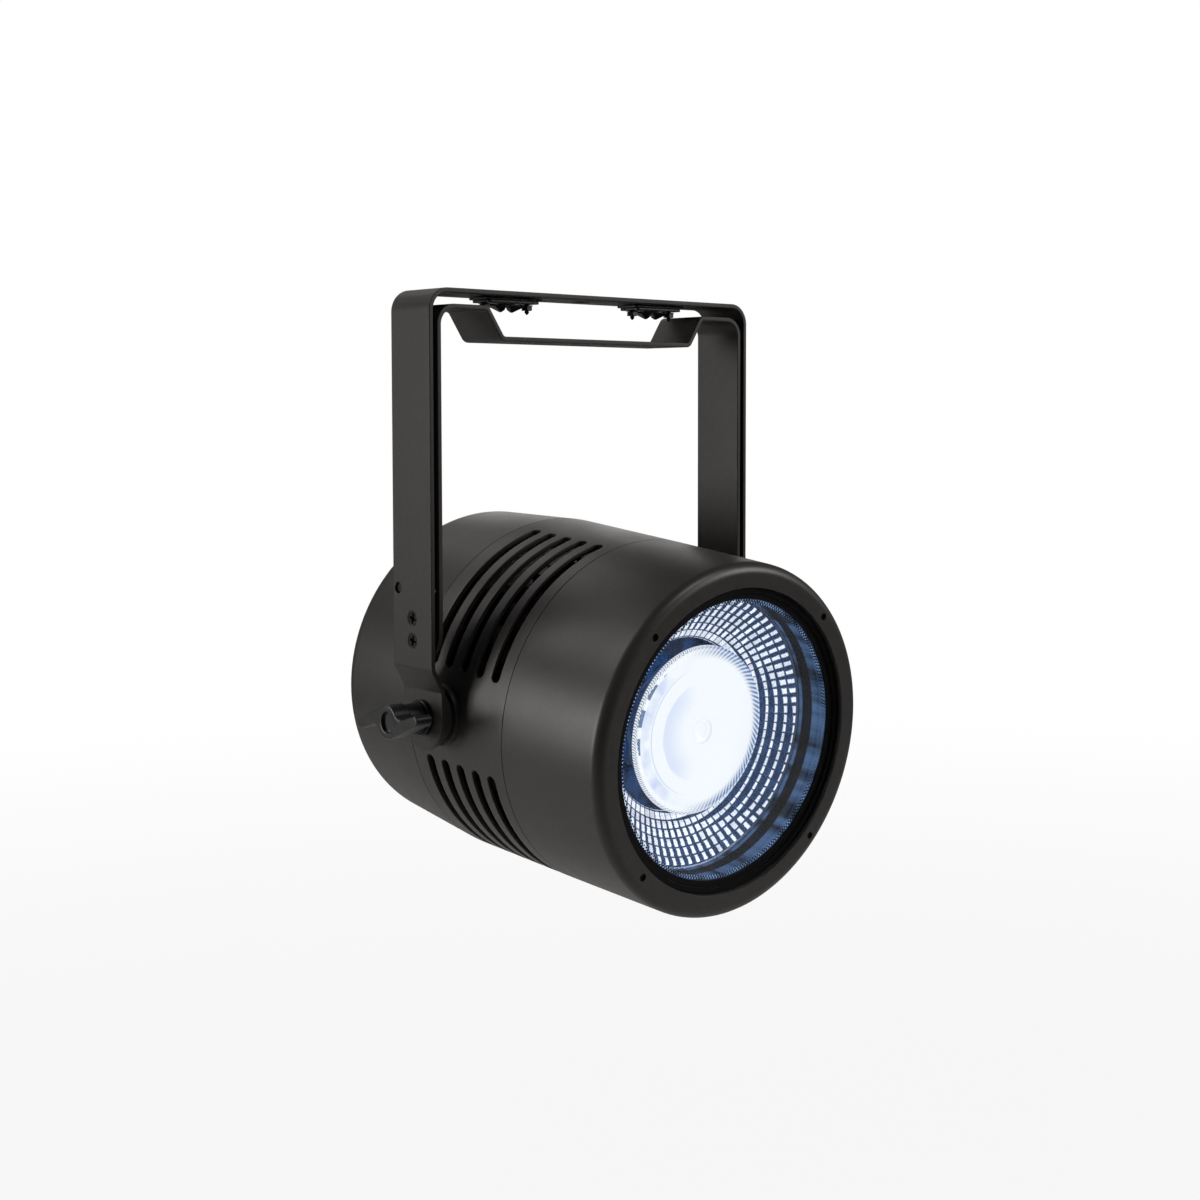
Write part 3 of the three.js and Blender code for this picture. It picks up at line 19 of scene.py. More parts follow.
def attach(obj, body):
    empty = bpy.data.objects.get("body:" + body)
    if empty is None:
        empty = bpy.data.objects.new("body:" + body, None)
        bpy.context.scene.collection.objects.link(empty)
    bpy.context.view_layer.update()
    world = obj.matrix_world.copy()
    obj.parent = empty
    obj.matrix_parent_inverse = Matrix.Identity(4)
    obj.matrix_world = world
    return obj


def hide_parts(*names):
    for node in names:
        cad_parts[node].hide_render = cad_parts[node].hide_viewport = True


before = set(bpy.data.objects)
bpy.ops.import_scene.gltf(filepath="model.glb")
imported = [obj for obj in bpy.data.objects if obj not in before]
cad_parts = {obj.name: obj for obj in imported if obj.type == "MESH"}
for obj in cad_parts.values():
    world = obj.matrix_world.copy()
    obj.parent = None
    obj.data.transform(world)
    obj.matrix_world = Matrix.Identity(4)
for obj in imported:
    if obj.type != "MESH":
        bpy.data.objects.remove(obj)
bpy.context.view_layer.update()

LOG = logging.getLogger("strobe_light")

MM = 0.001
PIVOT_Z = -227.5
HINGE_Z = -180.0
HEAD_TILT = math.radians(4.4)

# The two quarter-turn sockets, and how far each screw of a pair stands from the middle of its pair.
SOCKET_X = 53.0
SOCKET_HOLE = 5.25
SOCKET_SPREAD = 14.3
HINGE_SPREAD = 5.9

Point = tuple[float, float]
Loop = list[Point]
Rings = list[Point]
Holes = Iterable[tuple[float, float, float, float]]
Colour = tuple[float, float, float]
Material = bpy.types.Material
Mesh = bmesh.types.BMesh
Node = bpy.types.Node
NodeOutputs = bpy.types.NodeOutputs
NodeTree = bpy.types.NodeTree
Object = bpy.types.Object
Socket = bpy.types.NodeSocket
Maker = Callable[[], NodeTree]


def carry(u: Sequence[float], v: Sequence[float], w: Sequence[float], height: float) -> Matrix:
    """Gives the matrix from a drawing in millimetres to the model in metres.

    Args:
        u: Direction of the drawing's first axis.
        v: Direction of its second axis.
        w: Direction of its third axis.
        height: Height of its origin, in millimetres.

    Returns:
        The drawing's frame.
    """
    turn = Matrix((u, v, w)).transposed().to_4x4()
    return Matrix.Translation((0, 0, height * MM)) @ turn @ Matrix.Scale(MM, 4)


COS, SIN = math.cos(HEAD_TILT), math.sin(HEAD_TILT)
PLAN = carry((1, 0, 0), (0, 1, 0), (0, 0, 1), 0)
HINGE = carry((0, 1, 0), (0, 0, 1), (1, 0, 0), HINGE_Z)
HEAD = carry((1, 0, 0), (0, -SIN, COS), (0, -COS, -SIN), PIVOT_Z)
REAR = carry((-1, 0, 0), (0, -SIN, COS), (0, COS, SIN), PIVOT_Z)
PIVOT = carry((0, COS, SIN), (0, -SIN, COS), (1, 0, 0), PIVOT_Z)
OTHER_SIDE = Matrix.Scale(-1, 4, (1, 0, 0))
DRAWN = Matrix.Identity(4)


class Body(Enum):
    """The bodies that pieces ride on."""

    YOKE = "yoke"
    STAND = "floor_stand"
    HEAD = "head"
    KNOB_LEFT = "tilt_knob_left"
    KNOB_RIGHT = "tilt_knob_right"


class Side(Enum):
    """The two ends of the tilt axis."""

    LEFT = "left"
    RIGHT = "right"

    def turn(self, place: Matrix) -> Matrix:
        """Gives a frame drawn for the right end, at this end."""
        return OTHER_SIDE @ place if self is Side.LEFT else place.copy()


def arc(x: float, y: float, radius: float, start: float, end: float, steps: int = 8) -> Loop:
    """Gives the points of an arc, its angles in degrees."""
    turns = [math.radians(start + (end - start) * i / steps) for i in range(steps + 1)]
    return [(x + radius * math.cos(a), y + radius * math.sin(a)) for a in turns]


def circle(radius: float, x: float = 0.0, y: float = 0.0, steps: int = 48) -> Loop:
    """Gives a round loop."""
    return arc(x, y, radius, 0, 360, steps)[:-1]


def rectangle(width: float, height: float, corner: float, x: float = 0.0, y: float = 0.0) -> Loop:
    """Gives a loop with four round corners."""
    w, h = width / 2 - corner, height / 2 - corner
    centres = [(w, h), (-w, h), (-w, -h), (w, -h)]
    return [
        point
        for i, (cx, cy) in enumerate(centres)
        for point in arc(x + cx, y + cy, corner, 90 * i, 90 * i + 90, 6)
    ]


def rounded(corners: Sequence[tuple[float, ...]], closed: bool = True, steps: int = 5) -> Loop:
    """Rounds the corners of a line.

    Args:
        corners: Points as (x, y) or (x, y, radius).
        closed: Whether the line runs back to its start.
        steps: Pieces in each round corner.

    Returns:
        The line's points.
    """
    points: Loop = []
    count = len(corners)
    for i, corner in enumerate(corners):
        here = Vector(corner[:2])
        radius = corner[2] if len(corner) > 2 else 0
        if not radius or (not closed and i in (0, count - 1)):
            points.append((here.x, here.y))
            continue
        into = (here - Vector(corners[i - 1][:2])).normalized()
        out = (Vector(corners[(i + 1) % count][:2]) - here).normalized()
        turn = math.atan2(into.x * out.y - into.y * out.x, into.dot(out))
        start = here - into * radius * math.tan(abs(turn) / 2)
        inwards = Vector((-into.y, into.x)) * math.copysign(1, turn)
        centre = start + inwards * radius
        for k in range(steps + 1):
            spoke = Matrix.Rotation(turn * k / steps, 2) @ inwards
            end = centre - spoke * radius
            points.append((end.x, end.y))
    return points


def lathe(profile: Loop, segments: int = 144) -> Mesh:
    """Turns a profile about the third axis.

    Args:
        profile: Points as (radius, station). It closes on itself unless both ends are on the axis.
        segments: Faces around the axis.

    Returns:
        A closed mesh.
    """
    bm = bmesh.new()
    rings = []
    for radius, station in profile:
        if radius < 1e-6:
            rings.append([bm.verts.new((0, 0, station))])
            continue
        turns = [2 * math.pi * i / segments for i in range(segments)]
        rings.append([bm.verts.new((radius * math.cos(a), radius * math.sin(a), station)) for a in turns])
    on_axis = len(rings[0]) == 1 and len(rings[-1]) == 1
    pairs = list(zip(rings, rings[1:])) + ([] if on_axis else [(rings[-1], rings[0])])
    for low, high in pairs:
        for i in range(segments):
            k = (i + 1) % segments
            face = [low[i % len(low)], low[k % len(low)], high[k % len(high)], high[i % len(high)]]
            corners = list(dict.fromkeys(face))
            if len(corners) > 2:
                bm.faces.new(corners)
    return bm


def inset(loop: Loop, amount: float) -> Loop:
    """Moves a loop to its left by an amount, corner by corner."""
    moved = []
    for i, here in enumerate(loop):
        into = (Vector(here) - Vector(loop[i - 1])).normalized()
        out = (Vector(loop[(i + 1) % len(loop)]) - Vector(here)).normalized()
        left = Vector((-into.y - out.y, into.x + out.x))
        if left.length < 1e-6:
            left = Vector((-into.y, into.x))
        left.normalize()
        miter = max(0.35, left.dot(Vector((-into.y, into.x))))
        end = Vector(here) + left * amount / miter
        moved.append((end.x, end.y))
    return moved


def turned(loop: Loop, degrees: float, x: float = 0.0, y: float = 0.0) -> Loop:
    """Turns a loop about its origin and then moves it."""
    angle = math.radians(degrees)
    c, s = math.cos(angle), math.sin(angle)
    return [(px * c - py * s + x, px * s + py * c + y) for px, py in loop]


def wound(loop: Loop, left: bool) -> Loop:
    """Turns a loop so that its inside is on its left, or on its right."""
    area = sum(a[0] * b[1] - b[0] * a[1] for a, b in zip(loop, loop[1:] + loop[:1]))
    return loop if (area > 0) == left else loop[::-1]


def edge_rings(low: float, high: float, edge: float, steps: int = 2) -> Rings:
    """Gives the (inset, height) rings of a wall with both edges rounded, from the top down."""
    turn = [math.pi / 2 * i / steps for i in range(steps + 1)]
    top = [(edge * (1 - math.sin(a)), high - edge * (1 - math.cos(a))) for a in turn]
    return top + [(i, low + high - h) for i, h in reversed(top)]


@dataclass
class Cut:
    """A hole in a plate, or a pocket when it has a floor.

    Attributes:
        loop: Its outline.
        rings: Its wall as (inset, height) from the top down. An inset makes the hole wider.
        pocket: Whether it ends in a floor at its last ring.
    """

    loop: Loop
    rings: Rings
    pocket: bool = False


def plate(outline: Loop, rings: Rings, cuts: Iterable[Cut] = ()) -> Mesh:
    """Makes a flat plate with shaped edges, holes and pockets.

    Args:
        outline: Its outer loop.
        rings: Its edge as (inset, height) from the top down.
        cuts: Its holes and pockets.

    Returns:
        A closed mesh.
    """
    bm = bmesh.new()
    top, bottom = [], []

    def wall(loop: Loop, steps: Rings) -> tuple[list, list]:
        """Makes a wall and gives its first and last rows."""
        rows = [[bm.verts.new((x, y, h)) for x, y in inset(loop, i)] for i, h in steps]
        for upper, lower in zip(rows, rows[1:]):
            for i in range(len(upper)):
                bm.faces.new((upper[i - 1], upper[i], lower[i], lower[i - 1]))
        return rows[0], rows[-1]

    def cap(rows: list[list]) -> None:
        """Closes the face between an outer row and the rows inside it."""
        flat = [v for row in rows for v in row]
        for a, b, c in tessellate_polygon([[v.co for v in row] for row in rows]):
            if len({a, b, c}) == 3 and not bm.faces.get((flat[a], flat[b], flat[c])):
                bm.faces.new((flat[a], flat[b], flat[c]))

    high, low = wall(wound(outline, True), rings)
    top.append(high)
    bottom.append(low)
    for hole in cuts:
        high, low = wall(wound(hole.loop, False), hole.rings)
        top.append(high)
        if hole.pocket:
            cap([low])
        else:
            bottom.append(low)
    cap(top)
    cap(bottom)
    return bm


def slab(outline: Loop, low: float, high: float, edge: float = 0.3, holes: Iterable[Loop] = ()) -> Mesh:
    """Makes a plate whose edges and hole edges are all rounded alike."""
    rings = edge_rings(low, high, edge)
    return plate(outline, rings, [Cut(hole, rings) for hole in holes])


def joined(*parts: Mesh) -> Mesh:
    """Puts several meshes in one."""
    whole = bmesh.new()
    for part in parts:
        mesh = bpy.data.meshes.new("part")
        part.to_mesh(mesh)
        whole.from_mesh(mesh)
        bpy.data.meshes.remove(mesh)
        part.free()
    return whole


def moved(bm: Mesh, x: float = 0.0, y: float = 0.0, z: float = 0.0, turn: float = 0.0) -> Mesh:
    """Turns a mesh about its third axis, in degrees, and then moves it."""
    bm.transform(Matrix.Translation((x, y, z)) @ Matrix.Rotation(math.radians(turn), 4, "Z"))
    return bm


def sliced(bm: Mesh, x: float) -> None:
    """Cuts a mesh's faces where they cross this x."""
    everything = bm.verts[:] + bm.edges[:] + bm.faces[:]
    bmesh.ops.bisect_plane(bm, geom=everything, plane_co=(x, 0, 0), plane_no=(1, 0, 0))


def added(name: str, data: bpy.types.ID, place: Matrix = DRAWN) -> Object:
    """Adds an object of this data to the scene."""
    obj = bpy.data.objects.new(name, data)
    obj.matrix_world = place
    bpy.context.scene.collection.objects.link(obj)
    return obj


def meshed(name: str, bm: Mesh) -> Object:
    """Adds an object of a mesh that isn't needed any more."""
    mesh = bpy.data.meshes.new(name)
    bm.to_mesh(mesh)
    bm.free()
    return added(name, mesh)


def plain(obj: Object) -> Object:
    """Turns an object with its modifiers into a plain mesh."""
    bpy.context.view_layer.update()
    seen = obj.evaluated_get(bpy.context.evaluated_depsgraph_get())
    mesh = bpy.data.meshes.new_from_object(seen)
    obj.modifiers.clear()
    obj.data = mesh
    return obj


@dataclass
class Bench:
    """Turns drawings into finished pieces of the model.

    Attributes:
        made: Names of the pieces so far.
    """

    made: list[str] = field(default_factory=list)

    def raw(self, name: str, bm: Mesh, place: Matrix = DRAWN) -> Object:
        """Makes an object of a mesh in the model's frame.

        Args:
            name: The object's name.
            bm: The mesh, drawn in millimetres.
            place: The drawing's frame, or none to keep it as drawn.

        Returns:
            The object, its faces outwards.
        """
        bm.transform(place)
        bmesh.ops.remove_doubles(bm, verts=bm.verts, dist=1e-7)
        bmesh.ops.dissolve_degenerate(bm, edges=bm.edges, dist=1e-7)
        bmesh.ops.recalc_face_normals(bm, faces=bm.faces)
        return meshed(name, bm)

    def shade(self, obj: Object, sharp: float = 38.0) -> Object:
        """Shades an object smooth up to an angle, with flat faces kept flat."""
        obj.data.shade_smooth()
        obj.data.set_sharp_from_angle(angle=math.radians(sharp))
        weighted = obj.modifiers.new("weighted", "WEIGHTED_NORMAL")
        weighted.keep_sharp = True
        return plain(obj)

    def fit(self, obj: Object, finish: "Finish", body: Body | str, replaces: Iterable[str] = ()) -> Object:
        """Dresses an object and joins it to its body.

        Args:
            obj: The object.
            finish: Its finish.
            body: The body that it rides on.
            replaces: The nodes that it stands for.

        Returns:
            The object.
        """
        if not obj.data.materials:
            obj.data.materials.append(finish.material())
        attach(obj, body.value if isinstance(body, Body) else body)
        nodes = list(replaces)
        if nodes:
            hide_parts(*nodes)
        self.made.append(obj.name)
        LOG.info("%s: %d faces, %s", obj.name, len(obj.data.polygons), finish.slot)
        return obj

    def make(
            self, name: str, bm: Mesh, place: Matrix, finish: "Finish", body: Body | str,
            replaces: Iterable[str] = (), sharp: float = 38.0) -> Object:
        """Makes, shades and fits a piece in one go."""
        return self.fit(self.shade(self.raw(name, bm, place), sharp), finish, body, replaces)

    def repeat(
            self, name: str, bm: Mesh, kit: "Kit", place: Matrix, finish: "Finish", body: Body | str,
            replaces: Iterable[str] = (), shaded: bool = True, **values: float | int) -> Object:
        """Makes one piece of many copies of a drawing.

        Args:
            name: The object's name.
            bm: The drawing that is repeated, in millimetres.
            kit: The tree that repeats it.
            place: The frame of the whole. A mirrored one turns the faces outwards again.
            finish: Its finish.
            body: The body that it rides on.
            replaces: The nodes that it stands for.
            shaded: Whether it is shaded smooth.
            values: The tree's inputs.

        Returns:
            The object.
        """
        obj = kit.grow(self.raw(name, bm), finish, **values)
        obj.data.transform(place)
        if place.determinant() < 0:
            obj.data.flip_normals()
        return self.fit(self.shade(obj) if shaded else obj, finish, body, replaces)


class Number:
    """A number in a node tree, with the usual arithmetic."""

    def __init__(self, tree: NodeTree, socket: Socket) -> None:
        """Wraps a socket of a tree."""
        self.tree, self.socket = tree, socket

    def apply(self, operation: str, *others: "Number | float") -> "Number":
        """Runs one math node on this number.

        Args:
            operation: The math node's operation.
            others: Its further inputs.

        Returns:
            The node's value.
        """
        node = self.tree.nodes.new("ShaderNodeMath")
        node.operation = operation
        self.tree.links.new(self.socket, node.inputs[0])
        for i, other in enumerate(others):
            if isinstance(other, Number):
                self.tree.links.new(other.socket, node.inputs[i + 1])
            else:
                node.inputs[i + 1].default_value = other
        return Number(self.tree, node.outputs[0])

    def __add__(self, other: "Number | float") -> "Number":
        """Adds."""
        return self.apply("ADD", other)

    def __sub__(self, other: "Number | float") -> "Number":
        """Subtracts."""
        return self.apply("SUBTRACT", other)

    def __mul__(self, other: "Number | float") -> "Number":
        """Multiplies."""
        return self.apply("MULTIPLY", other)

    def __truediv__(self, other: "Number | float") -> "Number":
        """Divides."""
        return self.apply("DIVIDE", other)

    def step(self, start: float, end: float) -> "Number":
        """Gives 0 below start and 1 past end, smooth between them."""
        node = self.tree.nodes.new("ShaderNodeMapRange")
        node.interpolation_type = "SMOOTHSTEP"
        self.tree.links.new(self.socket, node.inputs["Value"])
        node.inputs["From Min"].default_value, node.inputs["From Max"].default_value = start, end
        return Number(self.tree, node.outputs["Result"])

    def rest(self) -> "Number":
        """Gives 1 less this number."""
        return self * -1.0 + 1.0

    def most(self, other: "Number | float") -> "Number":
        """Gives the larger of two numbers."""
        return self.apply("MAXIMUM", other)

    def between(self, low: float, high: float, soft: float) -> "Number":
        """Gives 1 from low to high and 0 outside, with soft edges."""
        return self.step(low - soft, low + soft) * self.step(high + soft, high - soft)


class Tree:
    """Short names for making the nodes of a tree."""

    def __init__(self, tree: NodeTree) -> None:
        """Wraps a node tree."""
        self.tree = tree

    def node(self, kind: str, inputs: dict[str | int, object] | None = None, **settings: object) -> Node:
        """Makes a node.

        Args:
            kind: Its type.
            inputs: Values, sockets or numbers for its inputs.
            settings: Its own settings.

        Returns:
            The node.
        """
        made = self.tree.nodes.new(kind)
        for name, value in settings.items():
            setattr(made, name, value)
        self.dress(made, inputs or {})
        return made

    def dress(self, node: Node, inputs: dict[str | int, object]) -> None:
        """Gives several inputs of a node their values or links."""
        for name, value in inputs.items():
            self.feed(node.inputs[name], value)

    def feed(self, socket: Socket, value: object) -> None:
        """Gives an input a value, or links it."""
        if isinstance(value, Number):
            value = value.socket
        if isinstance(value, Socket):
            self.tree.links.new(value, socket)
        else:
            socket.default_value = value

    def number(self, socket: Socket) -> Number:
        """Wraps a socket for arithmetic."""
        return Number(self.tree, socket)

    def split(self, vector: Socket) -> list[Number]:
        """Gives a vector's three numbers."""
        parts = self.node("ShaderNodeSeparateXYZ", {0: vector})
        return [self.number(s) for s in parts.outputs]

    def noise(self, vector: object, scale: object, detail: float = 2.0, **more: float) -> Number:
        """Gives the value of a noise texture."""
        inputs = {"Vector": vector, "Scale": scale, "Detail": detail, **more}
        return self.number(self.node("ShaderNodeTexNoise", inputs).outputs[0])

    def blend(self, share: object, low: object, high: object) -> Socket:
        """Mixes two colours by a share."""
        mix = self.node("ShaderNodeMix", data_type="RGBA")
        for socket, value in ((mix.inputs[0], share), (mix.inputs[6], low), (mix.inputs[7], high)):
            self.feed(socket, value)
        return mix.outputs[2]


def blank(owner: bpy.types.ID) -> Tree:
    """Gives a material or a world an empty node tree."""
    owner.use_nodes = True
    owner.node_tree.nodes.clear()
    return Tree(owner.node_tree)


class Kit(Tree):
    """A geometry tree with named inputs, which ends in realized instances and one material."""

    def __init__(self, name: str, **sizes: float | int) -> None:
        """Starts a tree.

        Args:
            name: The tree's name.
            sizes: Its inputs and their usual values.
        """
        group = bpy.data.node_groups.new(name, "GeometryNodeTree")
        super().__init__(group)
        sockets = group.interface
        sockets.new_socket("Geometry", in_out="INPUT", socket_type="NodeSocketGeometry")
        sockets.new_socket("Geometry", in_out="OUTPUT", socket_type="NodeSocketGeometry")
        sockets.new_socket("Material", in_out="INPUT", socket_type="NodeSocketMaterial")
        for key, value in sizes.items():
            kind = "NodeSocketInt" if isinstance(value, int) else "NodeSocketFloat"
            sockets.new_socket(key, in_out="INPUT", socket_type=kind).default_value = value
        self.inputs = self.node("NodeGroupInput").outputs

    def size(self, name: str) -> Number:
        """Gives one of the tree's inputs."""
        return self.number(self.inputs[name])

    def index(self) -> Number:
        """Gives the number of each copy."""
        return self.number(self.node("GeometryNodeInputIndex").outputs[0])

    def polar(self, angle: Number, radius: Number, height: Number | float = 0.0) -> Socket:
        """Gives the place at an angle, a radius and a height."""
        across, up = angle.apply("COSINE") * radius, angle.apply("SINE") * radius
        return self.node("ShaderNodeCombineXYZ", {0: across, 1: up, 2: height}).outputs[0]

    def copy(self, place: Socket, turn: object = (0.0, 0.0, 0.0)) -> None:
        """Ends the tree with a copy of its drawing at each of Count places."""
        points = self.node("GeometryNodePoints", {"Count": self.inputs["Count"], "Position": place})
        copies = self.node("GeometryNodeInstanceOnPoints", {
            "Points": points.outputs[0], "Instance": self.inputs["Geometry"], "Rotation": turn})
        self.close(copies.outputs[0])

    def close(self, geometry: Socket) -> None:
        """Ends the tree."""
        real = self.node("GeometryNodeRealizeInstances", {0: geometry})
        painted = self.node("GeometryNodeSetMaterial",
            {"Geometry": real.outputs[0], "Material": self.inputs["Material"]})
        self.node("NodeGroupOutput", {0: painted.outputs[0]})

    def grow(self, obj: Object, finish: "Finish", **values: float | int) -> Object:
        """Runs the tree on an object and leaves a plain mesh.

        Args:
            obj: The object that is its input.
            finish: The finish of the result.
            values: Its inputs.

        Returns:
            The object.
        """
        found = {s.name: s.identifier for s in self.tree.interface.items_tree if s.in_out == "INPUT"}
        modifier = obj.modifiers.new(self.tree.name, "NODES")
        modifier.node_group = self.tree
        modifier[found["Material"]] = finish.material()
        for key, value in values.items():
            modifier[found[key]] = value
        return plain(obj)


def ring_kit() -> Kit:
    """Makes the tree that repeats a drawing round the third axis, each copy turned with its place."""
    kit = Kit("ring_of", Count=4, Radius=10.0, Start=0.0)
    angle = kit.index() * (2 * math.pi) / kit.size("Count") + kit.size("Start")
    turn = kit.node("ShaderNodeCombineXYZ", {2: angle})
    kit.copy(kit.polar(angle, kit.size("Radius")), turn.outputs[0])
    return kit


def row_kit() -> Kit:
    """Makes the tree that repeats a drawing in a row about its middle."""
    kit = Kit("row_of", Count=2, Pitch=10.0)
    x = (kit.index() - (kit.size("Count") - 1) * 0.5) * kit.size("Pitch")
    kit.copy(kit.node("ShaderNodeCombineXYZ", {0: x}).outputs[0])
    return kit


def wrap_kit() -> Kit:
    """Makes the tree that wraps a flat sheet round the third axis, on a gentle cone."""
    kit = Kit("wrap_round", Radius=100.0, Station=0.0, Slope=0.0, Girth=100.0, Turn=0.0)
    x, y, z = kit.split(kit.node("GeometryNodeInputPosition").outputs[0])
    angle = x / kit.size("Girth") + kit.size("Turn")
    radius = kit.size("Radius") + (y - kit.size("Station")) * kit.size("Slope") + z
    wrapped = kit.node("GeometryNodeSetPosition", {
        "Geometry": kit.inputs["Geometry"], "Position": kit.polar(angle, radius, y)})
    kit.close(wrapped.outputs[0])
    return kit


def facet_kit() -> Kit:
    """Makes the tree of a faceted bowl, in rows and columns of small pillows, each with its own luck."""
    kit = Kit(
        "facet_bowl", Columns=80, Rows=6, Detail=4,
        Throat=48.3, Rim=73.3, Foot=81.2, Height=18.53, Pillow=0.35)
    columns, rows, detail = kit.size("Columns"), kit.size("Rows"), kit.size("Detail")
    grid = kit.node("GeometryNodeMeshGrid", {
        "Size X": 1.0, "Size Y": 1.0, "Vertices X": columns * detail + 1, "Vertices Y": rows * detail + 1})
    x, y, _ = kit.split(kit.node("GeometryNodeInputPosition").outputs[0])
    u, v = x + 0.5, y + 0.5
    radius = kit.size("Throat") + (kit.size("Rim") - kit.size("Throat")) * v
    share = (radius.apply("POWER", 2.0) - kit.size("Throat").apply("POWER", 2.0)) / (
        kit.size("Rim").apply("POWER", 2.0) - kit.size("Throat").apply("POWER", 2.0))

    def hump(along: Number, count: Number) -> Number:
        """Gives a hump that is 1 at the middle of each cell and 0 between cells."""
        part = (along * count + 1e-4).apply("FRACT")
        return (part - 0.5).apply("POWER", 2.0) * -4.0 + 1.0

    pillow = hump(u, columns) * hump(v, rows) * kit.size("Pillow")
    angle = u * (2 * math.pi)
    height = kit.size("Foot") + share * kit.size("Height") + pillow * 0.8
    place = kit.polar(angle, radius - pillow * 0.6, height)
    cell = (u * columns).apply("FLOOR") + (v * rows).apply("FLOOR") * 1000.0
    luck = kit.node("FunctionNodeRandomValue", {"ID": cell, "Seed": 5}, data_type="FLOAT")
    marked = kit.node("GeometryNodeStoreNamedAttribute", {
        "Geometry": grid.outputs[0], "Name": "facet", "Value": luck.outputs[1]}, data_type="FLOAT",
        domain="FACE")
    shaped = kit.node("GeometryNodeSetPosition", {"Geometry": marked.outputs[0], "Position": place})
    sewn = kit.node("GeometryNodeMergeByDistance", {"Geometry": shaped.outputs[0], "Distance": 0.001})
    kit.close(sewn.outputs[0])
    return kit


def effect(name: str, inputs: dict[str, float], outputs: Iterable[str]) -> tuple[Tree, NodeOutputs]:
    """Starts a shader group that several finishes share.

    Args:
        name: The group's name.
        inputs: Its number inputs, after the vector, and their usual values.
        outputs: Its number outputs.

    Returns:
        The tree, and what it is given, the vector first.
    """
    group = bpy.data.node_groups.new(name, "ShaderNodeTree")
    group.interface.new_socket("Vector", in_out="INPUT", socket_type="NodeSocketVector")
    for key, value in inputs.items():
        group.interface.new_socket(key, in_out="INPUT", socket_type="NodeSocketFloat").default_value = value
    for key in outputs:
        group.interface.new_socket(key, in_out="OUTPUT", socket_type="NodeSocketFloat")
    tree = Tree(group)
    return tree, tree.node("NodeGroupInput").outputs


def coat_grain() -> NodeTree:
    """Makes the fine grain of a powder coat or a moulded texture: Tone round 1, Gloss round 0, and Height."""
    tree, given = effect("coat_grain", {"Scale": 1400.0, "Strength": 1.0}, ("Tone", "Gloss", "Height"))
    fine = tree.noise(given[0], given[1], Roughness=0.7)
    coarse = tree.noise(given[0], tree.number(given[1]) * 0.23, 1.0)
    wide = tree.noise(given[0], 14.0)
    speck = (fine - 0.5) * 0.75 + (coarse - 0.5) * 0.3
    tone = (speck + (wide - 0.5) * 0.12) * tree.number(given[2]) + 1.0
    gloss = (wide - 0.5) * 0.16 - speck * 0.1
    height = fine * 0.7 + coarse * 0.5
    tree.node("NodeGroupOutput", {0: tone, 1: gloss, 2: height})
    return tree.tree


def handling_marks() -> NodeTree:
    """Makes faint smudges and dust: Smudge for roughness and Dust as a mask."""
    tree, given = effect("handling_marks", {"Scale": 60.0}, ("Smudge", "Dust"))
    cloud = tree.noise(given[0], given[1], 4.0, Distortion=0.6)
    specks = tree.noise(given[0], tree.number(given[1]) * 22.0, 1.0)
    dust = specks.step(0.66, 0.8) * cloud.step(0.45, 0.7)
    tree.node("NodeGroupOutput", {0: (cloud - 0.5) * 0.3, 1: dust})
    return tree.tree


def turned_lines() -> NodeTree:
    """Makes the fine lines of drawn metal across the vector's third axis: Tone round 1 and Height."""
    tree, given = effect("turned_lines", {"Pitch": 3000.0, "Strength": 1.0}, ("Tone", "Height"))
    squeezed = tree.node("ShaderNodeVectorMath", {0: given[0], 1: (0.04, 0.04, 1.0)}, operation="MULTIPLY")
    lines = tree.noise(squeezed.outputs[0], given[1], 3.0)
    blotch = tree.noise(given[0], 180.0)
    tone = ((lines - 0.5) * 0.4 + (blotch - 0.5) * 0.2) * tree.number(given[2]) + 1.0
    tree.node("NodeGroupOutput", {0: tone, 1: lines})
    return tree.tree


EFFECTS: dict[str, NodeTree] = {}
DUST = (0.3, 0.29, 0.28, 1)


def shared(maker: Maker) -> NodeTree:
    """Gives a shader group, made once."""
    if maker.__name__ not in EFFECTS:
        EFFECTS[maker.__name__] = maker()
    return EFFECTS[maker.__name__]


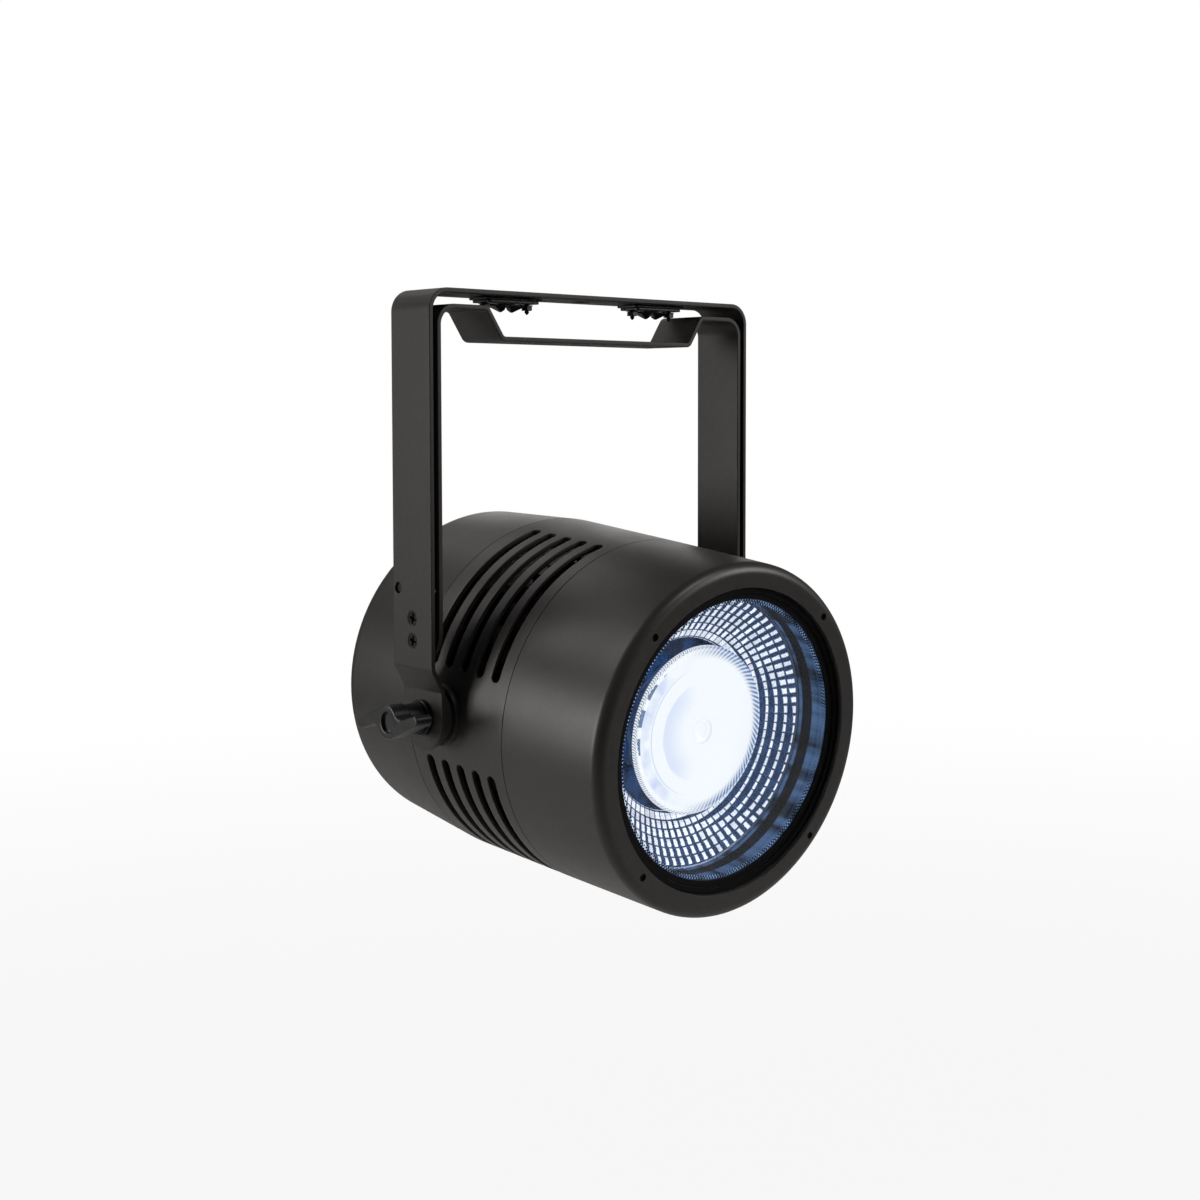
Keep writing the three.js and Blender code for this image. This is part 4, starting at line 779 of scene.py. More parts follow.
@dataclass(frozen=True)
class Finish:
    """A surface finish: a coat or a moulding with its grain.

    Attributes:
        name: The material's name.
        slot: The record's material slot.
        colour: Base colour, linear.
        roughness: Middle roughness.
        metallic: Metallic share.
        grain: Size of the grain, in features to the metre.
        tone: How much the grain changes the colour.
        depth: Depth of the grain in metres.
        dust: How much dust shows.
        specular: Strength of the plain reflection.
    """

    name: str
    slot: str
    colour: Colour
    roughness: float
    metallic: float = 0.0
    grain: float = 1400.0
    tone: float = 0.5
    depth: float = 0.00002
    dust: float = 0.1
    specular: float = 0.5

    def start(self) -> tuple[Material, Tree, Node, Socket]:
        """Starts a material with its shader and its object coordinates."""
        material = bpy.data.materials.new(self.name)
        tree = blank(material)
        shader = tree.node("ShaderNodeBsdfPrincipled", {
            "Metallic": self.metallic, "Roughness": self.roughness, "Specular IOR Level": self.specular})
        tree.node("ShaderNodeOutputMaterial", {0: shader.outputs[0]})
        return material, tree, shader, tree.node("ShaderNodeTexCoord").outputs["Object"]

    def group(self, tree: Tree, maker: Maker, vector: Socket, **values: float) -> NodeOutputs:
        """Places a shared group in the material and gives its outputs."""
        return tree.node("ShaderNodeGroup", {0: vector, **values}, node_tree=shared(maker)).outputs

    def paint(self, tree: Tree, shader: Node, vector: Socket) -> None:
        """Adds the colour, the gloss and the grain to the shader."""
        grain = self.group(tree, coat_grain, vector, Scale=self.grain, Strength=self.tone)
        marks = self.group(tree, handling_marks, vector)
        coat = self.toned(tree, grain["Tone"])
        rough = tree.number(grain["Gloss"]) + tree.number(marks["Smudge"]) * 0.3 + self.roughness
        tree.dress(shader, {
            "Base Color": tree.blend(tree.number(marks["Dust"]) * self.dust, coat, DUST),
            "Roughness": rough, "Normal": self.bump(tree, grain["Height"], 1.0)})

    def toned(self, tree: Tree, tone: Socket) -> Socket:
        """Gives the colour, scaled by a tone."""
        scaled = tree.node("ShaderNodeVectorMath", {0: self.colour, "Scale": tone}, operation="SCALE")
        return scaled.outputs[0]

    def bump(self, tree: Tree, height: Socket, strength: float) -> Socket:
        """Gives the normal of a fine relief."""
        relief = {"Height": height, "Strength": strength, "Distance": self.depth}
        return tree.node("ShaderNodeBump", relief).outputs[0]

    def material(self) -> Material:
        """Gives the material, made on first use."""
        made = bpy.data.materials.get(self.name)
        if made:
            return made
        made, tree, shader, vector = self.start()
        self.paint(tree, shader, vector)
        return made


@dataclass(frozen=True)
class Metal(Finish):
    """A bare or plated metal with fine lines.

    Attributes:
        metallic: Metallic share.
        lines: Lines to the metre.
    """

    metallic: float = 1.0
    lines: float = 3000.0

    def paint(self, tree: Tree, shader: Node, vector: Socket) -> None:
        """Adds the metal's lines and marks."""
        lines = self.group(tree, turned_lines, vector, Pitch=self.lines, Strength=self.tone)
        marks = self.group(tree, handling_marks, vector, Scale=90.0)
        tree.dress(shader, {
            "Base Color": self.toned(tree, lines["Tone"]),
            "Roughness": tree.number(marks["Smudge"]) * 0.5 + self.roughness,
            "Normal": self.bump(tree, lines["Height"], 0.6)})


def head_place(tree: Tree, vector: Socket) -> Socket:
    """Turns object coordinates to the head's own: across, behind the pivot, and up, in metres."""
    height = -PIVOT_Z * MM
    mapping = tree.node("ShaderNodeMapping", {
        "Vector": vector, "Location": (0, SIN * height, COS * height), "Rotation": (-HEAD_TILT, 0, 0)})
    return mapping.outputs[0]


def head_axes(tree: Tree, place: Socket) -> tuple[Number, Number, Number, Number]:
    """Gives how far across, ahead and up a place on the head is, and how far from its axis."""
    x, behind, z = tree.split(place)
    return x, behind * -1.0, z, (x * x + z * z).apply("SQRT")


# Colours of painted light: the first is painted shade inside the head, the others are the lamp's glow and its
# reflections painted on the optics.
PAINTED_SHADE = (0.0008, 0.0008, 0.0008, 1)
NAVY = (0.007, 0.017, 0.05, 1)
STEEL_BLUE = (0.055, 0.11, 0.225, 1)
PALE_BLUE = (0.5, 0.6, 0.84, 1)
LAMP_WHITE = (0.9, 0.935, 0.96, 1)


@dataclass(frozen=True)
class Shell(Finish):
    """The housing's coat, with painted shade inside the head where no light reaches."""

    def paint(self, tree: Tree, shader: Node, vector: Socket) -> None:
        """Adds the plain finish and paints shade over it inside the walls and down the slots."""
        super().paint(tree, shader, vector)
        _, station, _, radius = head_axes(tree, head_place(tree, vector))
        # Painted shade: inside the walls and down the slots the coat turns nearly black and loses its
        # reflection.
        limit = station.between(-0.062, 0.062, 0.002) * 0.0021 + 0.0932
        inner = (radius - limit).step(0.0002, -0.0002) * station.between(-0.086, 0.105, 0.001)
        coat = shader.inputs["Base Color"].links[0].from_socket
        tree.dress(shader, {
            "Base Color": tree.blend(inner, coat, PAINTED_SHADE), "Specular IOR Level": inner.rest() * self.specular})


@dataclass(frozen=True)
class Mirror(Finish):
    """The mirror coat of the bowl's facets, with the lamp's reflection in each facet painted on as a glowing
    bar.

    Attributes:
        columns: Facets round the bowl.
        rows: Facets from throat to rim.
        throat: Radius of the bowl's throat in metres.
        rim: Radius of its rim.
        dim_side: Direction, across and up, of the side where the painted reflection bars are thinnest.
    """

    columns: int = 80
    rows: int = 6
    throat: float = 0.0481
    rim: float = 0.0733
    dim_side: Point = (0.934, -0.358)

    def paint(self, tree: Tree, shader: Node, vector: Socket) -> None:
        """Paints each facet's reflection of the lamp as a glowing bar with dark edges. The bars shrink to a
        thin line at the right.
        """
        luck = tree.number(tree.node("ShaderNodeAttribute", attribute_name="facet").outputs["Fac"])
        x, _, z, radius = head_axes(tree, head_place(tree, vector))
        reflection_noise = tree.noise(vector, 1700.0)
        turn = z.apply("ARCTAN2", x) / (2 * math.pi) + 1.0
        aside = (((turn * self.columns).apply("FRACT") - 0.5) * 2.0).apply("ABSOLUTE")
        row = (radius - self.throat) / (self.rim - self.throat) * self.rows
        along = row.apply("FRACT")
        index = row.apply("FLOOR")
        # Painted reflection of the lamp: each facet shows a glowing bar, shorter towards dim_side.
        off = ((x * self.dim_side[0] + z * self.dim_side[1]) / radius).apply("ARCCOSINE")
        lit = (off / (index * -0.155 + 1.33)).step(0.4, 1.3)
        length = lit * 0.62 + 0.27
        wide = (index * -0.045 + 0.68).most(row.step(1.05, 0.95) * 0.84)
        wide = wide - luck * 0.1 + (reflection_noise - 0.5) * 0.35 + lit.rest() * 0.35
        bar = (aside - wide).step(0.12, -0.12)
        bar = bar * along.between(0.12, 0.96, 0.05) * (along - 0.96 + length).step(-0.06, 0.06)
        # Painted glints on the bars, and a painted faint blue glow between the bars.
        painted_glint = reflection_noise.step(0.42, 0.6)
        share = bar * (luck * 0.35 + 0.72) * (painted_glint * 0.3 + 0.72)
        painted_dim_glow = tree.blend(painted_glint * (luck * 0.5 + 0.2), NAVY, STEEL_BLUE)
        # The glow is emission; the base colour is also lighter under the bars.
        tree.dress(shader, {
            "Base Color": tree.blend(bar * 0.5, (0.004, 0.008, 0.018, 1), (*self.colour, 1)),
            "Emission Color": tree.blend(share, painted_dim_glow, (0.84, 0.89, 1.0, 1)), "Emission Strength": 1.2,
            "Roughness": luck * 0.12 + self.roughness})


@dataclass(frozen=True)
class LitLens(Finish):
    """The clear lens, with the lamp's light through it painted on as emission.

    Attributes:
        edge: Station where its flank ends, in metres.
        dimple: Radius of its dimple.
    """

    edge: float = 0.0964
    dimple: float = 0.0066

    def paint(self, tree: Tree, shader: Node, vector: Socket) -> None:
        """Paints the lamp's glow on the lens: the lit face with painted shade at its moulded rings, the
        spiral strokes of its rim and the darker flank.
        """
        x, station, z, radius = head_axes(tree, head_place(tree, vector))
        cloud = tree.noise(vector, 95.0) - 0.5
        around = z.apply("ARCTAN2", x) / (2 * math.pi) + 1.0
        from_left = z.apply("ARCTAN2", x * -1.0)
        left = (x / radius).step(-0.15, -0.8)
        right = (x / radius).step(-0.35, 0.45)
        # Painted shade at the moulded rings and on the left of the face, over the painted glow.
        wavy = radius + cloud * 0.002
        shade = left * wavy.step(0.0279, 0.0268) * radius.step(0.012, 0.0268) * 0.5
        shade = shade.most(left * radius.between(0.0349, 0.0355, 0.0003) * 0.8)
        shade = shade.most(left * radius.between(0.0362, 0.0420, 0.0006) * (cloud * 2.2 + 0.36))
        shade = shade.most(radius.between(self.dimple - 0.0003, self.dimple + 0.0002, 0.0003) * 0.45)
        shade = shade.most(radius.between(0.0043, 0.0046, 0.0003) * 0.3)
        face = tree.blend(shade, LAMP_WHITE, PALE_BLUE)
        bend = (from_left - 0.314) / 0.61
        beyond = radius - (bend * bend).rest() * 0.0028 - 0.0422
        dash = radius.step(0.0420, 0.0424) * beyond.step(0.0003, -0.0001)
        dash = dash * ((from_left + 0.194) / 0.349).apply("FRACT").between(0.02, 0.63, 0.02)
        dash = dash * from_left.between(-0.22, 0.93, 0.02)
        face = tree.blend(dash * 0.92, face, (0.035, 0.1, 0.25, 1))
        stroke = (around * 96.0 + radius * 300.0).apply("FRACT").between(0.1, 0.6, 0.15)
        fade = radius.step(0.0385, 0.0432) * right
        face = tree.blend(fade * (stroke * -0.72 + 1.0), face, (0.09, 0.19, 0.42, 1))
        tick = (around * 190.0 + radius * 900.0).apply("FRACT").between(0.15, 0.6, 0.1)
        tick = tick * radius.step(0.0440, 0.0452) * right.rest()
        face = tree.blend(tick * 0.85, face, STEEL_BLUE)
        flank = station.step(self.edge + 0.0006, self.edge - 0.0006)
        streak = tree.blend((cloud * 2.4 + 0.25) * 0.4, NAVY, (0.07, 0.14, 0.28, 1))
        # The glow is emission; the base colour also darkens with the painted shade.
        tree.dress(shader, {
            "Base Color": tree.blend(shade, (*self.colour, 1), (0.02, 0.03, 0.06, 1)),
            "Emission Color": tree.blend(flank, face, streak), "Emission Strength": 0.97,
            "Roughness": cloud * 0.1 + self.roughness})


@dataclass(frozen=True)
class LitWall(Finish):
    """A surface with bands of the lamp's light painted on as emission along the head's axis; on the emitter
    it is the lamp's own glow.

    Attributes:
        bands: Bands of painted light as stations, in metres.
        reach: Radius in metres past which no light is painted.
        light: Colour of the painted light.
    """

    bands: tuple[Point, ...] = ((0.0, 1.0),)
    reach: float = 1.0
    light: Colour = STEEL_BLUE[:3]

    def paint(self, tree: Tree, shader: Node, vector: Socket) -> None:
        """Paints the bands of light on as emission, cloudy along their length, over the plain finish."""
        super().paint(tree, shader, vector)
        place = head_place(tree, vector)
        _, station, _, radius = head_axes(tree, place)
        flat = tree.node("ShaderNodeVectorMath", {0: place, 1: (1.0, 0.08, 1.0)}, operation="MULTIPLY")
        cloud = tree.noise(flat.outputs[0], 110.0, 3.0)
        # Painted light: the bands glow as emission; on the emitter this is the lamp's own glow.
        total = station * 0.0
        for low, high in self.bands:
            total = total.most(station.between(low, high, 0.0003)).most(0.035)
        total = total * radius.step(self.reach, self.reach - 0.0004)
        total = total * (cloud.step(0.34, 0.68) * 1.15 + 0.12)
        tree.dress(shader, {
            "Emission Color": tree.blend(total, (0, 0, 0, 1), (*self.light, 1)), "Emission Strength": 1.0})


@dataclass(frozen=True)
class Window(Finish):
    """Clear polished glass."""

    def paint(self, tree: Tree, shader: Node, vector: Socket) -> None:
        """Adds the clear body, faint wipe marks, and a shadow as light as glass gives."""
        marks = self.group(tree, handling_marks, vector, Scale=24.0)
        dusty = tree.number(marks["Dust"]) * 0.2
        tree.dress(shader, {
            "Base Color": tree.blend(dusty, (*self.colour, 1), (0.7, 0.72, 0.75, 1)),
            "Roughness": (tree.number(marks["Smudge"]) * 0.02 + self.roughness).most(0.0),
            "IOR": 1.2, "Transmission Weight": 1.0})
        clear = tree.node("ShaderNodeBsdfTransparent", {0: (0.93, 0.95, 0.96, 1)})
        shadow = tree.node("ShaderNodeLightPath").outputs["Is Shadow Ray"]
        mixed = tree.node("ShaderNodeMixShader", {0: shadow, 1: shader.outputs[0], 2: clear.outputs[0]})
        surface = next(n for n in tree.tree.nodes if n.type == "OUTPUT_MATERIAL")
        tree.feed(surface.inputs[0], mixed.outputs[0])


@dataclass(frozen=True)
class Board(Finish):
    """A circuit board's solder mask over its copper lines."""

    def paint(self, tree: Tree, shader: Node, vector: Socket) -> None:
        """Adds the lines and the pads."""
        cells = tree.node("ShaderNodeTexVoronoi", {"Vector": vector, "Scale": 260.0}, distance="CHEBYCHEV",
            feature="F1")
        away = tree.number(cells.outputs["Distance"])
        line, pad = away.step(0.42, 0.46), away.step(0.14, 0.1)
        masked = tree.blend(line, (*self.colour, 1), (0.05, 0.3, 0.14, 1))
        tree.dress(shader, {
            "Base Color": tree.blend(pad, masked, (0.7, 0.62, 0.35, 1)),
            "Roughness": pad * -0.2 + self.roughness})


class Finishes:
    """All the finishes of the light."""

    housing = Shell("housing_coat", "coated_housing", (0.025, 0.0225, 0.0212), 0.4, grain=1500, tone=1.1,
        specular=0.5)
    strip = Finish("strip_coat", "coated_strip", (0.026, 0.0237, 0.0225), 0.46, grain=1500, tone=1.1,
        specular=0.33)
    plastic = Finish("black_moulding", "black_plastic", (0.0025, 0.0025, 0.003), 0.5, grain=2200, tone=0.5,
        dust=0.02, specular=0.12)
    satin = Finish("satin_moulding", "satin_black_plastic", (0.013, 0.013, 0.0135), 0.36, grain=2600,
        tone=0.4, depth=0.00001)
    rubber = Finish("black_rubber", "black_rubber", (0.006, 0.006, 0.006), 0.75, grain=900, tone=0.5,
        dust=0.05, specular=0.25)
    dark = Metal("black_oxide", "black_steel", (0.017, 0.0165, 0.0165), 0.3, metallic=0.5, tone=0.6,
        depth=0.00001)
    zinc = Metal("bright_zinc", "zinc_steel", (0.56, 0.55, 0.53), 0.3, tone=0.6, depth=0.000008)
    aluminium = Metal("bare_aluminium", "bare_aluminium", (0.6, 0.61, 0.62), 0.38, tone=0.7, depth=0.00001)
    mirror = Mirror("mirror_facets", "mirror_coat", (0.1, 0.12, 0.16), 0.14, metallic=1.0)
    lens = LitLens("lit_lens", "lens_plastic", (0.02, 0.025, 0.03), 0.22)
    lamp = LitWall("lit_emitter", "led_phosphor", (0.6, 0.5, 0.2), 0.5, light=(0.85, 0.9, 0.95))
    glass = Window("clear_glass", "window_glass", (0.97, 0.985, 1.0), 0.005)
    # The bowl's shell, the bulkhead and the heat sink carry faint painted lamp light; the heat sink is also
    # made very dark so that the slots look dark inside.
    silver = LitWall("bowl_coat", "mirror_coat", (0.05, 0.065, 0.1), 0.25, metallic=1.0, tone=0.4,
        depth=0.000005, light=(0.008, 0.018, 0.045))
    throat = LitWall("lit_bulkhead", "black_anodised", (0.012, 0.012, 0.013), 0.5, tone=0.5, reach=0.0485,
        light=(0.01, 0.04, 0.125))
    black_sink = LitWall("black_sink", "black_anodised", (0.0025, 0.0025, 0.003), 0.6, tone=0.5,
        specular=0.06, bands=((0.060, 0.075),), reach=0.0485, light=(0.01, 0.045, 0.14))
    board = Board("solder_mask", "circuit_board", (0.015, 0.12, 0.05), 0.38)
    screen = Finish("tinted_window", "display_window", (0.006, 0.012, 0.02), 0.08, grain=300, tone=0.4,
        depth=0.000002, dust=0.03)
    # The tube and the gasket carry bands of painted lamp light.
    tube = LitWall("lit_tube", "black_plastic", (0.003, 0.003, 0.0035), 0.6, grain=2200, depth=0.000004,
        dust=0.03, specular=0.08, bands=((0.1010, 0.1036), (0.1108, 0.1300)), reach=0.0762)
    seal = LitWall("lit_seal", "black_rubber", (0.006, 0.006, 0.006), 0.6, grain=900, dust=0.05, reach=0.0790)
    # Painted glints: lamp light between the printed dots, painted on as small glowing dots.
    glint = LitWall("print_glint", "window_glass", (0.05, 0.06, 0.08), 0.4, light=(0.3, 0.46, 0.78))


class BentPath:
    """The middle line of a bent strip, straight runs joined by arcs, drawn as (across, up)."""

    def __init__(self, corners: Sequence[tuple[float, float, float]]) -> None:
        """Lays the runs out.

        Args:
            corners: The line's corners with their bend radii, which are 0 at the two ends.
        """
        self.runs: list[tuple[float, Vector, Vector, float, float]] = []
        spots = [Vector(c[:2]) for c in corners]
        reach, here = 0.0, spots[0]
        for i, corner in enumerate(corners[1:-1], 1):
            into = (spots[i] - spots[i - 1]).normalized()
            out = (spots[i + 1] - spots[i]).normalized()
            turn = math.atan2(into.x * out.y - into.y * out.x, into.dot(out))
            cut = corner[2] * math.tan(abs(turn) / 2)
            straight = (spots[i] - here).length - cut
            self.runs.append((reach, here, into, straight, 0.0))
            reach += straight
            here = spots[i] - into * cut
            bend = corner[2] * abs(turn)
            self.runs.append((reach, here, into, bend, turn))
            reach += bend
            here = spots[i] + out * cut
        last = spots[-1] - here
        self.runs.append((reach, here, last.normalized(), last.length, 0.0))
        self.length = reach + last.length

    def place(self, u: float) -> tuple[Vector, Vector]:
        """Gives the point at a distance along the line, and the direction of its outer side."""
        start, here, into, length, turn = next(r for r in reversed(self.runs) if r[0] <= max(u, 0.0) + 1e-6)
        along = u - start
        if turn:
            angle = turn * along / length
            inwards = Vector((-into.y, into.x)) * math.copysign(1, turn)
            spoke = Matrix.Rotation(angle, 2) @ inwards
            here = here + (inwards - spoke) * (length / abs(turn))
            into = Matrix.Rotation(angle, 2) @ into
        else:
            here = here + into * along
        return here, Vector((-into.y, into.x))

    def reach(self, x: float, z: float) -> float:
        """Gives the distance along the line of the point nearest to a place."""
        goal = Vector((x, z))
        best = (1e9, 0.0)
        for start, here, into, length, turn in self.runs:
            if not turn:
                along = min(max((goal - here).dot(into), 0.0), length)
                best = min(best, ((here + into * along - goal).length, start + along))
        return best[1]

    def bend(self, bm: Mesh, step: float = 6.0) -> Mesh:
        """Bends a flat strip, drawn as (along, across, outwards), along the line.

        Args:
            bm: The strip's mesh.
            step: Turn between two slices of a bend, in degrees.

        Returns:
            The mesh as (across, depth, up).
        """
        for start, _, _, length, turn in self.runs:
            slices = math.ceil(abs(math.degrees(turn)) / step) if turn else 0
            for k in range(slices + 1 if slices else 0):
                sliced(bm, start + length * k / slices)
        for vert in bm.verts:
            spot, outer = self.place(vert.co.x)
            spot = spot + outer * vert.co.z
            vert.co = (spot.x, vert.co.y, spot.y)
        return bm


@dataclass
class Strip:
    """A flat strip with round ends, bent to a yoke.

    Attributes:
        corners: Corners of its middle line with their bend radii.
        width: Its width.
        thickness: Its thickness.
        edge: Radius of its worn edges.
    """

    corners: list[tuple[float, float, float]]
    width: float = 35.6
    thickness: float = 2.5
    edge: float = 0.45

    def path(self) -> BentPath:
        """Gives the whole middle line, both arms alike."""
        return BentPath(self.corners + [(-x, z, r) for x, z, r in reversed(self.corners)])

    def holes(self, path: BentPath, rounds: Holes, sunk: Holes = ()) -> list[Cut]:
        """Draws the holes of both arms.

        Args:
            path: The middle line.
            rounds: Plain holes of the right half as (x, z, y, radius).
            sunk: Countersunk ones as (x, z, bore, seat).

        Returns:
            The cuts of both halves.
        """
        half = self.thickness / 2
        cuts = []
        for x, z, y, radius in rounds:
            for side in (-1, 1):
                loop = circle(radius, path.reach(side * x, z), y)
                cuts.append(Cut(loop, edge_rings(-half, half, 0.25)))
        for x, z, bore, seat in sunk:
            for side in (-1, 1):
                wide = seat - bore
                rings = [(wide + 0.15, half), (wide, half - 0.12), (0, half - 1.9), (0, -half)]
                cuts.append(Cut(circle(bore, path.reach(side * x, z)), rings))
        return cuts

    def mesh(self, cuts: list[Cut], path: BentPath) -> Mesh:
        """Makes the bent strip with its holes."""
        end = self.width / 2
        outline = arc(end, 0, end, 90, 270, 32) + arc(path.length - end, 0, end, -90, 90, 32)
        flat = plate(outline, edge_rings(-self.thickness / 2, self.thickness / 2, self.edge, 3), cuts)
        return path.bend(flat)


@dataclass
class Yokes:
    """The outer yoke that hangs from the truss, and the inner one that folds out as a stand.

    Attributes:
        outer: The outer strip.
        inner: The inner strip.
        clamp_hole: Radius of the middle hole of the top bar.
        index_hole: Radius of the hole for the stand's detent.
        index_up: Height of that hole.
        index_depth: Its distance behind the middle of the arm.
        detent_hole: Radius of the inner arm's holes for it.
        stud_hole: Radius of the tilt stud's hole.
        hinge_hole: Radius of the inner arm's hinge hole.
        seat: Bore and seat radius of a countersunk hole.
    """

    outer: Strip = field(default_factory=lambda: Strip([
        (-108.05, -245.3, 0), (-108.05, -212.3, 3), (-114.25, -200, 3), (-114.25, -1.25, 10.75)]))
    inner: Strip = field(default_factory=lambda: Strip([
        (-109.25, -197.8, 0), (-109.25, -9.55, 9.75), (-78.3, -9.55, 3.5), (-68, -25.75, 3.5)]))
    clamp_hole: float = 6.25
    index_hole: float = 3.05
    index_up: float = -158.7
    index_depth: float = 13.0
    detent_hole: float = 1.7
    stud_hole: float = 4.3
    hinge_hole: float = 11.5
    seat: Point = (2.3, 4.2)

    def build(self, bench: Bench) -> None:
        """Builds and dresses both yokes."""
        path = self.outer.path()
        foot, arm, bar = -self.outer.corners[0][0], -self.outer.corners[-1][0], self.outer.corners[-1][1]
        index = (self.index_up, self.index_depth, self.index_hole)
        rounds = [(foot, PIVOT_Z, 0, self.stud_hole), (arm, *index), (SOCKET_X, bar, 0, SOCKET_HOLE)]
        sunk = [(arm, HINGE_Z + s * HINGE_SPREAD, *self.seat) for s in (1, -1)]
        sunk += [(SOCKET_X + s * SOCKET_SPREAD, bar, *self.seat) for s in (-1, 1)]
        cuts = self.outer.holes(path, rounds, sunk)
        half = self.outer.thickness / 2
        cuts.append(Cut(circle(self.clamp_hole, path.length / 2), edge_rings(-half, half, 0.25)))
        bench.make("hanging_yoke", self.outer.mesh(cuts, path), PLAN, Finishes.strip, Body.YOKE,
            ["outer_yoke"])
        path = self.inner.path()
        arm = -self.inner.corners[0][0]
        rounds = [(arm, HINGE_Z, 0, self.hinge_hole)]
        rounds += [(arm, self.index_up, s * self.index_depth, self.detent_hole) for s in (1, -1)]
        cuts = self.inner.holes(path, rounds)
        bench.make("folding_stand", self.inner.mesh(cuts, path), PLAN, Finishes.strip, Body.STAND,
            ["floor_stand"])


def cross_screw(
        head: float, shank: float, length: float, sink: float = 0.0, cross: Point = (0.9, 4.4),
        deep: float = 1.4) -> Mesh:
    """Makes a screw with a cross recess, its head's face at height 0 and its shank downwards.

    Args:
        head: Radius of the head.
        shank: Radius of the shank.
        length: Length under the face.
        sink: Height of a countersunk cone, or 0 for a button head.
        cross: Width and length of the recess's arms.
        deep: Depth of the recess.

    Returns:
        A closed mesh.
    """
    w, reach = cross[0] / 2, cross[1] / 2
    loop = [spot for k in range(4) for spot in turned([(reach, -w), (reach, w), (w, w)], 90 * k)]
    pocket = Cut(loop, [(0.08, 0), (0, -0.1), (-w * 0.4, -deep)], pocket=True)
    cone, step, pitch = sink or 0.9, head - shank, 0.7
    if sink:
        rings = [(0.12, 0.0), (0.0, -0.12), (0.0, -0.3), (step, -cone)]
    else:
        rings = [(0.35, 0.0), (0.0, -0.3), (0.0, -cone), (step, -cone - 0.01)]
    dent = 0.22
    for i in range(int((length - cone - 0.9) / pitch)):
        top = -cone - 0.4 - i * pitch
        rings += [(step, top), (step + dent, top - pitch / 2)]
    rings += [(step, -length + 0.5), (step + 0.5, -length)]
    return plate(circle(head, steps=36), rings, [pocket])


@dataclass
class YokeHardware:
    """Screws, hinge bosses and quarter-turn sockets that the yoke carries.

    Attributes:
        face: Distance of the hinge screws' heads from the middle plane.
    """

    face: float = 115.2

    def build(self, bench: Bench) -> None:
        """Builds and dresses the hardware."""
        row = row_kit()
        for side in Side:
            name = side.value
            place = side.turn(HINGE)
            screw = cross_screw(head=3.75, shank=1.95, length=8.5, sink=1.9, cross=(1.6, 5.4), deep=1.8)
            upright = Matrix.Translation((0, 0, self.face)) @ Matrix.Rotation(math.pi / 2, 4, "Z")
            nodes = [f"stand_screw_{name}_{i}" for i in (1, 2)]
            bench.repeat(f"hinge_screws_{name}", moved(screw, turn=12), row, place @ upright, Finishes.dark,
                Body.YOKE, nodes, Count=2, Pitch=2 * HINGE_SPREAD)
            self.boss(bench, side, place)
            self.socket(bench, side, row)

    def boss(self, bench: Bench, side: Side, place: Matrix) -> None:
        """Builds one hinge boss: a flange inside and a round boss that the stand's arm turns on."""
        outline = [(1.7, 105.8), (14.2, 105.7), (14.5, 106.0), (14.5, 107.4), (14.2, 107.7), (11.2, 107.7),
            (11.2, 112.4), (10.9, 112.7), (1.7, 112.7)]
        bench.make(f"hinge_boss_{side.value}", lathe(outline, 96), place, Finishes.dark, Body.YOKE,
            [f"stand_hinge_{side.value}"])

    def socket(self, bench: Bench, side: Side, row: Kit) -> None:
        """Builds one quarter-turn socket: its plate, its pronged cam, and two screws with nuts."""
        name = side.value
        place = side.turn(PLAN) @ Matrix.Translation((SOCKET_X, 0, 0))
        holes = [circle(SOCKET_HOLE)] + [circle(2.3, s * SOCKET_SPREAD) for s in (-1, 1)]
        upper = slab(rectangle(38, 18, 1.8), -4.28, -2.85, 0.3, holes)
        lower = slab(rectangle(34.4, 16.2, 1.6), -5.78, -4.3, 0.3, holes)
        bench.make(f"socket_plate_{name}", joined(upper, lower), place, Finishes.dark, Body.YOKE,
            [f"clamp_socket_plate_{name}"])
        flange = slab(circle(8.5), -7.08, -6.12, 0.25, [rectangle(4, 9.5, 0.6)])
        prongs = [self.prong(s) for s in (-1, 1)]
        bench.make(f"socket_cam_{name}", joined(flange, *prongs), place, Finishes.dark, Body.YOKE,
            [f"clamp_socket_cam_{name}"])
        screw = cross_screw(head=3.9, shank=1.35, length=10.2, sink=1.9)
        tip = lathe([(0, -10.95), (0.5, -10.9), (1.0, -10.1), (0, -10.0)], 24)
        nut = plate(circle(3.15, steps=6), [(0.35, -6.15), (0, -6.35), (0, -8.5), (0.35, -8.7)])
        washer = lathe([(1.5, -5.86), (3.4, -5.86), (3.5, -5.96), (3.5, -6.1), (1.5, -6.15)], 32)
        nodes = [f"clamp_socket_screw_{i}" for i in ((1, 2) if side is Side.LEFT else (3, 4))]
        sunk = place @ Matrix.Translation((0, 0, -0.3))
        bench.repeat(f"socket_screws_{name}", joined(screw, tip, nut, washer), row, sunk, Finishes.dark,
            Body.YOKE, nodes, Count=2, Pitch=2 * SOCKET_SPREAD)

    def prong(self, side: int) -> Mesh:
        """Makes one pointed prong of the cam, on the side of this sign."""
        under, drop, root, point = -7.08, 3.4, 3.9, 0.6
        rib = rounded([(-10.3, 0.8), (-10.3, -0.1, 0.3), (-4.1, -drop, 0.3), (-3.5, -drop, 0.3),
            (-2.05, -2.1), (-2.05, 0.8)])
        made = slab([(x * side, y) for x, y in rib], -root, root, 0.3)
        for vert in made.verts:
            x, up, along = vert.co
            narrow = root + (point - root) * min(max(-up / drop, 0), 1)
            vert.co = (x, along * narrow / root, under + up)
        return made


